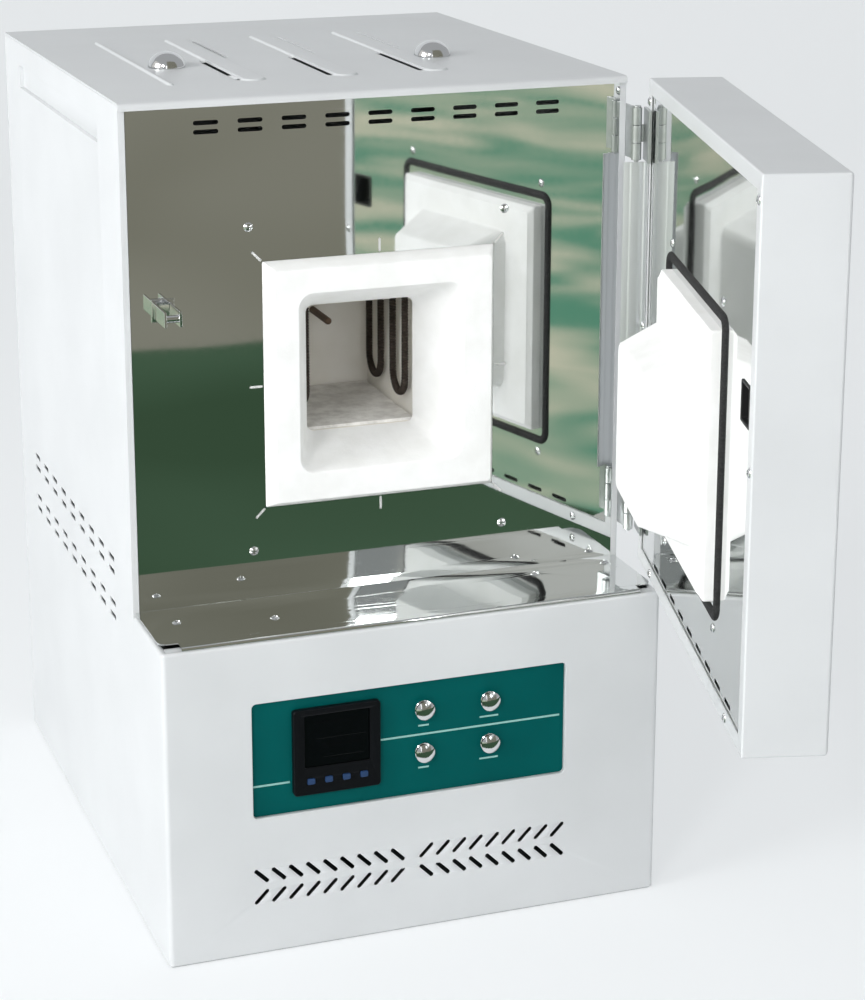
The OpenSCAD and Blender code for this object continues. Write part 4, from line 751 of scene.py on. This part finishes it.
for name, facing, sign, spots in (
    ("plate_screws", "y", -1, [(x, FRONT, z) for x, z in plate_spots]),
    ("shelf_screws", "z", 1, [(x, y, SHELF) for x, y in shelf_spots]),
    ("rear_screws", "y", 1, [(s * 200.5, BACK, z) for s in (-1, 1) for z in (43, 633)]),
):
    heads = piece(name + "_heads", [screw_head(spot, facing, sign) for spot in spots], chrome,
                  crease=30)
    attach(heads, "cabinet")
    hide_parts(name)

# ---- Dome nuts: turned from brass and chromed, one on each of the two studs that come through
# the top cover and hold it down.
swell = np.radians(np.linspace(2, 89, 22))
nut_profile = [*np.c_[15.5 * np.sin(swell), 13.0 * np.cos(swell)], (15.5, 0), (2, 0), (2, -13)]
nuts = piece("top_dome_nuts", [skin(turned(nut_profile, (x, y, TOP), n=64, facing="z"))
                               for x, y in dome_spots], chrome, crease=50)
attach(nuts, "cabinet")
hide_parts("top_screws")

# ---- Door shell: a deep tray of the same sheet, bent at its four sides, with a rim folded in round
# the liner. It is made where it closes and turned to where it stands open.
AXIS, OPEN = np.array([209.0, -193.5]), radians(75)
DOOR, DOOR_FACE, RIM, LINER = (0.1, 470.5), -262.0, -202.0, -203.5


def swing(points):
    """Turns points from the closed door about the hinge axis by the angle that it stands open."""
    c, s = np.cos(OPEN), np.sin(OPEN)
    return np.c_[(points[:, :2] - AXIS) @ np.array([[c, s], [-s, c]]) + AXIS, points[:, 2]]


outer = np.c_[2.5 - 2.5 * np.sin(quarter), -259.5 - 2.5 * np.cos(quarter)]
inner = np.c_[1.5 - 1.5 * np.cos(quarter), -203.5 + 1.5 * np.sin(quarter)]
bends = [(413 - 2 * i, 401 - 2 * i, 1.2, y) for i, y in (*outer, *inner)]
tray = skin(rings([(*row, *DOOR) for row in [*bends, (389, 377, 1.0, RIM)]], n=4), ends=False)
PULL = (-162.4, 470.5)
back = flat([loop(408, 396, 1.2, DOOR, n=4), loop(38.4, 110.4, 4, PULL)], DOOR_FACE)
shell = piece("door_tray", [tray, back], coat, wall=SHEET, turn=swing)
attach(shell, "door")
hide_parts("door_shell")

# ---- Hinge strip: brushed stainless sheet, folded to an angle with one shallow bead, and screwed
# to the door's rim between the hinges. Its wall covers the gap to the cabinet. The brushing blurs
# what it mirrors along its length.
brushed, tree = begin("brushed_stainless_steel")
place = add(tree, "TexCoord")
stretch = add(tree, "Mapping", {"Scale": (1, 1, 0.02)}, {"Vector": (place, "Object")})
grain = add(tree, "TexNoise", {"Scale": 1000 / 0.7, "Detail": 3.0}, {"Vector": (stretch, "Vector")})
tone = add(tree, "ValToRGB", {}, {"Fac": (grain, "Fac")}, [(0, "#d2d4d6"), (1, "#dadcde")])
gloss = add(tree, "MapRange", {"To Min": 0.43, "To Max": 0.47}, {"Value": (grain, "Fac")})
shader = add(tree, "BsdfPrincipled", {"Metallic": 1.0},
             {"Base Color": (tone, "Color"), "Roughness": (gloss, "Result")})
add(tree, "OutputMaterial", {}, {"Surface": (shader, "BSDF")})
section = np.array([(195.8, -200.5), (203.5, -200.5), (204.6, -200.1), (205.1, -199.0),
                    (205.1, -197.5), (204.6, -196.6), (204.0, -195.6), (203.9, -192.5),
                    (204.0, -189.4), (204.6, -188.4), (205.1, -187.5), (205.1, -183.2)])
strip_ends = np.stack([np.c_[section, np.full(len(section), z)] for z in (338.2, 603.8)])
strip = piece("hinge_strip", [skin(strip_ends, around=False, ends=False)], brushed, crease=20,
              wall=-SHEET, turn=swing)
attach(strip, "door")
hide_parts("hinge_post")

# ---- Door liner: polished stainless sheet held inside the rim by the door's screws, slotted along
# its foot, with the gasket and the plug fixed on it.
liner_slots = [loop(19.8, 3.5, 1.75, (-11 + 35 * (i - 4), 287.0), n=4) for i in range(9)]
SOCKET = (-177.4, 511.0)
liner = piece("door_mirror_liner", [flat(
    [loop(395, 383, 0.5, DOOR, n=2), loop(25.4, 28.4, 1, SOCKET), *liner_slots],
    -205.0, LINER)], mirror, turn=swing)
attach(liner, "door")
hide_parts("door_liner")
dress(fibre, "door_insulation")

# ---- Gasket: a braided cord of black glass fibre, glued to the liner in a rectangle with round
# corners. Its strands are finer than a pixel and show as a dull black, with painted shade
# darkening the crevices between them.
braid, tree = begin("braided_glass_cord")
place = add(tree, "TexCoord")
strand_shade_and_relief = add(tree, "TexVoronoi", {"Scale": 1000 / 1.6}, {"Vector": (place, "Object")})
# Painted shade: the colour is lighter on each strand's crown and darker towards the crevices
# between strands, following the same pattern as the relief.
tone = add(tree, "ValToRGB", {}, {"Fac": (strand_shade_and_relief, "Distance")}, [(0, "#2b2b2c"), (1, "#0f0f10")])
relief = add(tree, "Bump", {"Strength": 0.8, "Distance": 0.0004, "invert": True},
             {"Height": (strand_shade_and_relief, "Distance")})
shader = add(tree, "BsdfPrincipled", {"Roughness": 0.8},
             {"Base Color": (tone, "Color"), "Normal": (relief, "Normal")})
add(tree, "OutputMaterial", {}, {"Surface": (shader, "BSDF")})
arch = np.radians(np.linspace(0, 180, 11))
cord_rows = [(213 + 2 * o, 218 + 2 * o, 8.5 + o, d, 1.6, 441.2)
             for o, d in np.c_[3.5 * np.cos(arch), LINER + 2.5 * np.sin(arch)]]
cord = piece("gasket_cord", [skin(rings(cord_rows, n=10), ends=False, looped=True)], braid,
             crease=60, turn=swing)
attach(cord, "door")
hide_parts("door_gasket")

# ---- Plug: vacuum-formed ceramic fibre like the collar, pinned through the liner. It has a square
# base with a stepped edge, and a nose that fills the mouth.
BASE = (1.6, 441.2)
plug = piece("fibre_plug", [skin(rings([
    (194, 199, 2, LINER, *BASE), (194, 199, 2, -196.5, *BASE), (193.2, 198.2, 2.4, -195.4, *BASE),
    (186, 191, 3, -193, *BASE), (184.5, 189.5, 3, -192, *BASE),
    (135, 143.5, 11, -192, MUFFLE_X, 442.8), (132.4, 141, 10.5, -191.2, MUFFLE_X, 442.8),
    (131.4, 139.8, 10, -189.6, MUFFLE_X, 442.7), (104, 115.8, 7.6, -158, MUFFLE_X, 441),
    (102.4, 114.1, 7, -156, MUFFLE_X, 440.9), (99, 110.8, 6.6, -155, MUFFLE_X, 440.9)], n=10))],
    fibre, turn=swing)
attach(plug, "door")
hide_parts("door_plug")

# ---- Latch socket and pull cup: boxes moulded in black polyamide and clipped into the door. Their
# spark-eroded texture leaves them nearly matt.
nylon, tree = begin("moulded_polyamide")
place = add(tree, "TexCoord")
spark = add(tree, "TexNoise", {"Scale": 1000 / 1.1, "Detail": 2.0}, {"Vector": (place, "Object")})
tone = add(tree, "ValToRGB", {}, {"Fac": (spark, "Fac")}, [(0, "#121214"), (1, "#1b1b1d")])
relief = add(tree, "Bump", {"Strength": 0.4, "Distance": 0.00005}, {"Height": (spark, "Fac")})
shader = add(tree, "BsdfPrincipled", {"Roughness": 0.55},
             {"Base Color": (tone, "Color"), "Normal": (relief, "Normal")})
add(tree, "OutputMaterial", {}, {"Surface": (shader, "BSDF")})
socket = piece("latch_box", [skin(rings([(w, h, r, y, *SOCKET) for w, h, r, y in (
    (25, 28, 1.5, -228.5), (25, 28, 1.5, -203.5), (26.2, 29.2, 2, -203.5),
    (26.2, 29.2, 2, -202.8), (25.6, 28.6, 1.8, -202.5), (22.8, 25.8, 1.5, -202.5),
    (22, 25, 1.2, -203), (22, 25, 1.2, -227))]))], nylon, turn=swing)
cup = piece("pull_cup", [skin(rings([(w, h, r, y, *PULL) for w, h, r, y in (
    (38, 110, 4, -238), (38, 110, 4, -262), (48, 120, 6, -262), (48, 120, 6, -262.6),
    (47, 119, 5.6, -263), (37, 109, 4.6, -263), (35.6, 107.6, 4.2, -262.6),
    (35, 107, 4, -261.6), (35, 107, 4, -243), (31, 103, 3, -239.5))]))], nylon, turn=swing)
for box, node in ((socket, "latch_socket"), (cup, "door_pull")):
    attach(box, "door")
    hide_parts(node)
rim_spots = [(-200.4, RIM, 653), (200.6, RIM, 653), (-200.4, RIM, 470.5), (200.6, -200.5, 470.5),
             (-150, RIM, 276), (150, RIM, 276)]
liner_spots = [(BASE[0] + sx * 96, LINER, BASE[1] + sz * 119.5) for sx in (-1, 1) for sz in (-1, 1)]
heads = piece("door_screw_heads", [screw_head(at, "y", 1) for at in [*rim_spots, *liner_spots]],
              chrome, crease=30, turn=swing)
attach(heads, "door")
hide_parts("door_screws")

# ---- Inside and behind: the base pan and the brackets are folded from galvanised sheet, whose
# spangle shows as grey patches. The electrics stand on them.
galvanised, tree = begin("galvanised_sheet")
place = add(tree, "TexCoord")
spangle = add(tree, "TexVoronoi", {"Scale": 1000 / 9}, {"Vector": (place, "Object")})
tone = add(tree, "ValToRGB", {}, {"Fac": (spangle, "Distance")}, [(0, "#9ea2a4"), (1, "#b8bcbd")])
shader = add(tree, "BsdfPrincipled", {"Metallic": 0.9, "Roughness": 0.42},
             {"Base Color": (tone, "Color")})
add(tree, "OutputMaterial", {}, {"Surface": (shader, "BSDF")})
dress(galvanised, "base_pan", "divider_shelf", "muffle_supports", "inner_shell", "shelf_deck",
      "heat_sink")
# Bushes, terminals and the thermocouple's head are pressed steatite, cream with a clear glaze.
steatite, tree = begin("glazed_steatite")
place = add(tree, "TexCoord")
glaze = add(tree, "TexNoise", {"Scale": 1000 / 6, "Detail": 2.0}, {"Vector": (place, "Object")})
tone = add(tree, "ValToRGB", {}, {"Fac": (glaze, "Fac")}, [(0, "#dcd8cd"), (1, "#efece4")])
shader = add(tree, "BsdfPrincipled", {"Roughness": 0.3}, {"Base Color": (tone, "Color")})
add(tree, "OutputMaterial", {}, {"Surface": (shader, "BSDF")})
dress(steatite, "heater_bushes", "thermocouple_head", "terminal_block")
# The heater straps are cut from brass sheet, yellow and slightly tarnished.
brass, tree = begin("sheet_brass")
place = add(tree, "TexCoord")
tarnish = add(tree, "TexNoise", {"Scale": 1000 / 7, "Detail": 3.0}, {"Vector": (place, "Object")})
tone = add(tree, "ValToRGB", {}, {"Fac": (tarnish, "Fac")}, [(0, "#a5813f"), (1, "#c9a258")])
shader = add(tree, "BsdfPrincipled", {"Metallic": 1.0, "Roughness": 0.35},
             {"Base Color": (tone, "Color")})
add(tree, "OutputMaterial", {}, {"Surface": (shader, "BSDF")})
dress(brass, "heater_straps")
dress(abs_black, "controller_case", "solid_state_relay")
gland = softened("cable_gland", nylon, 0.4)
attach(gland, "cabinet")
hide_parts("cable_gland")
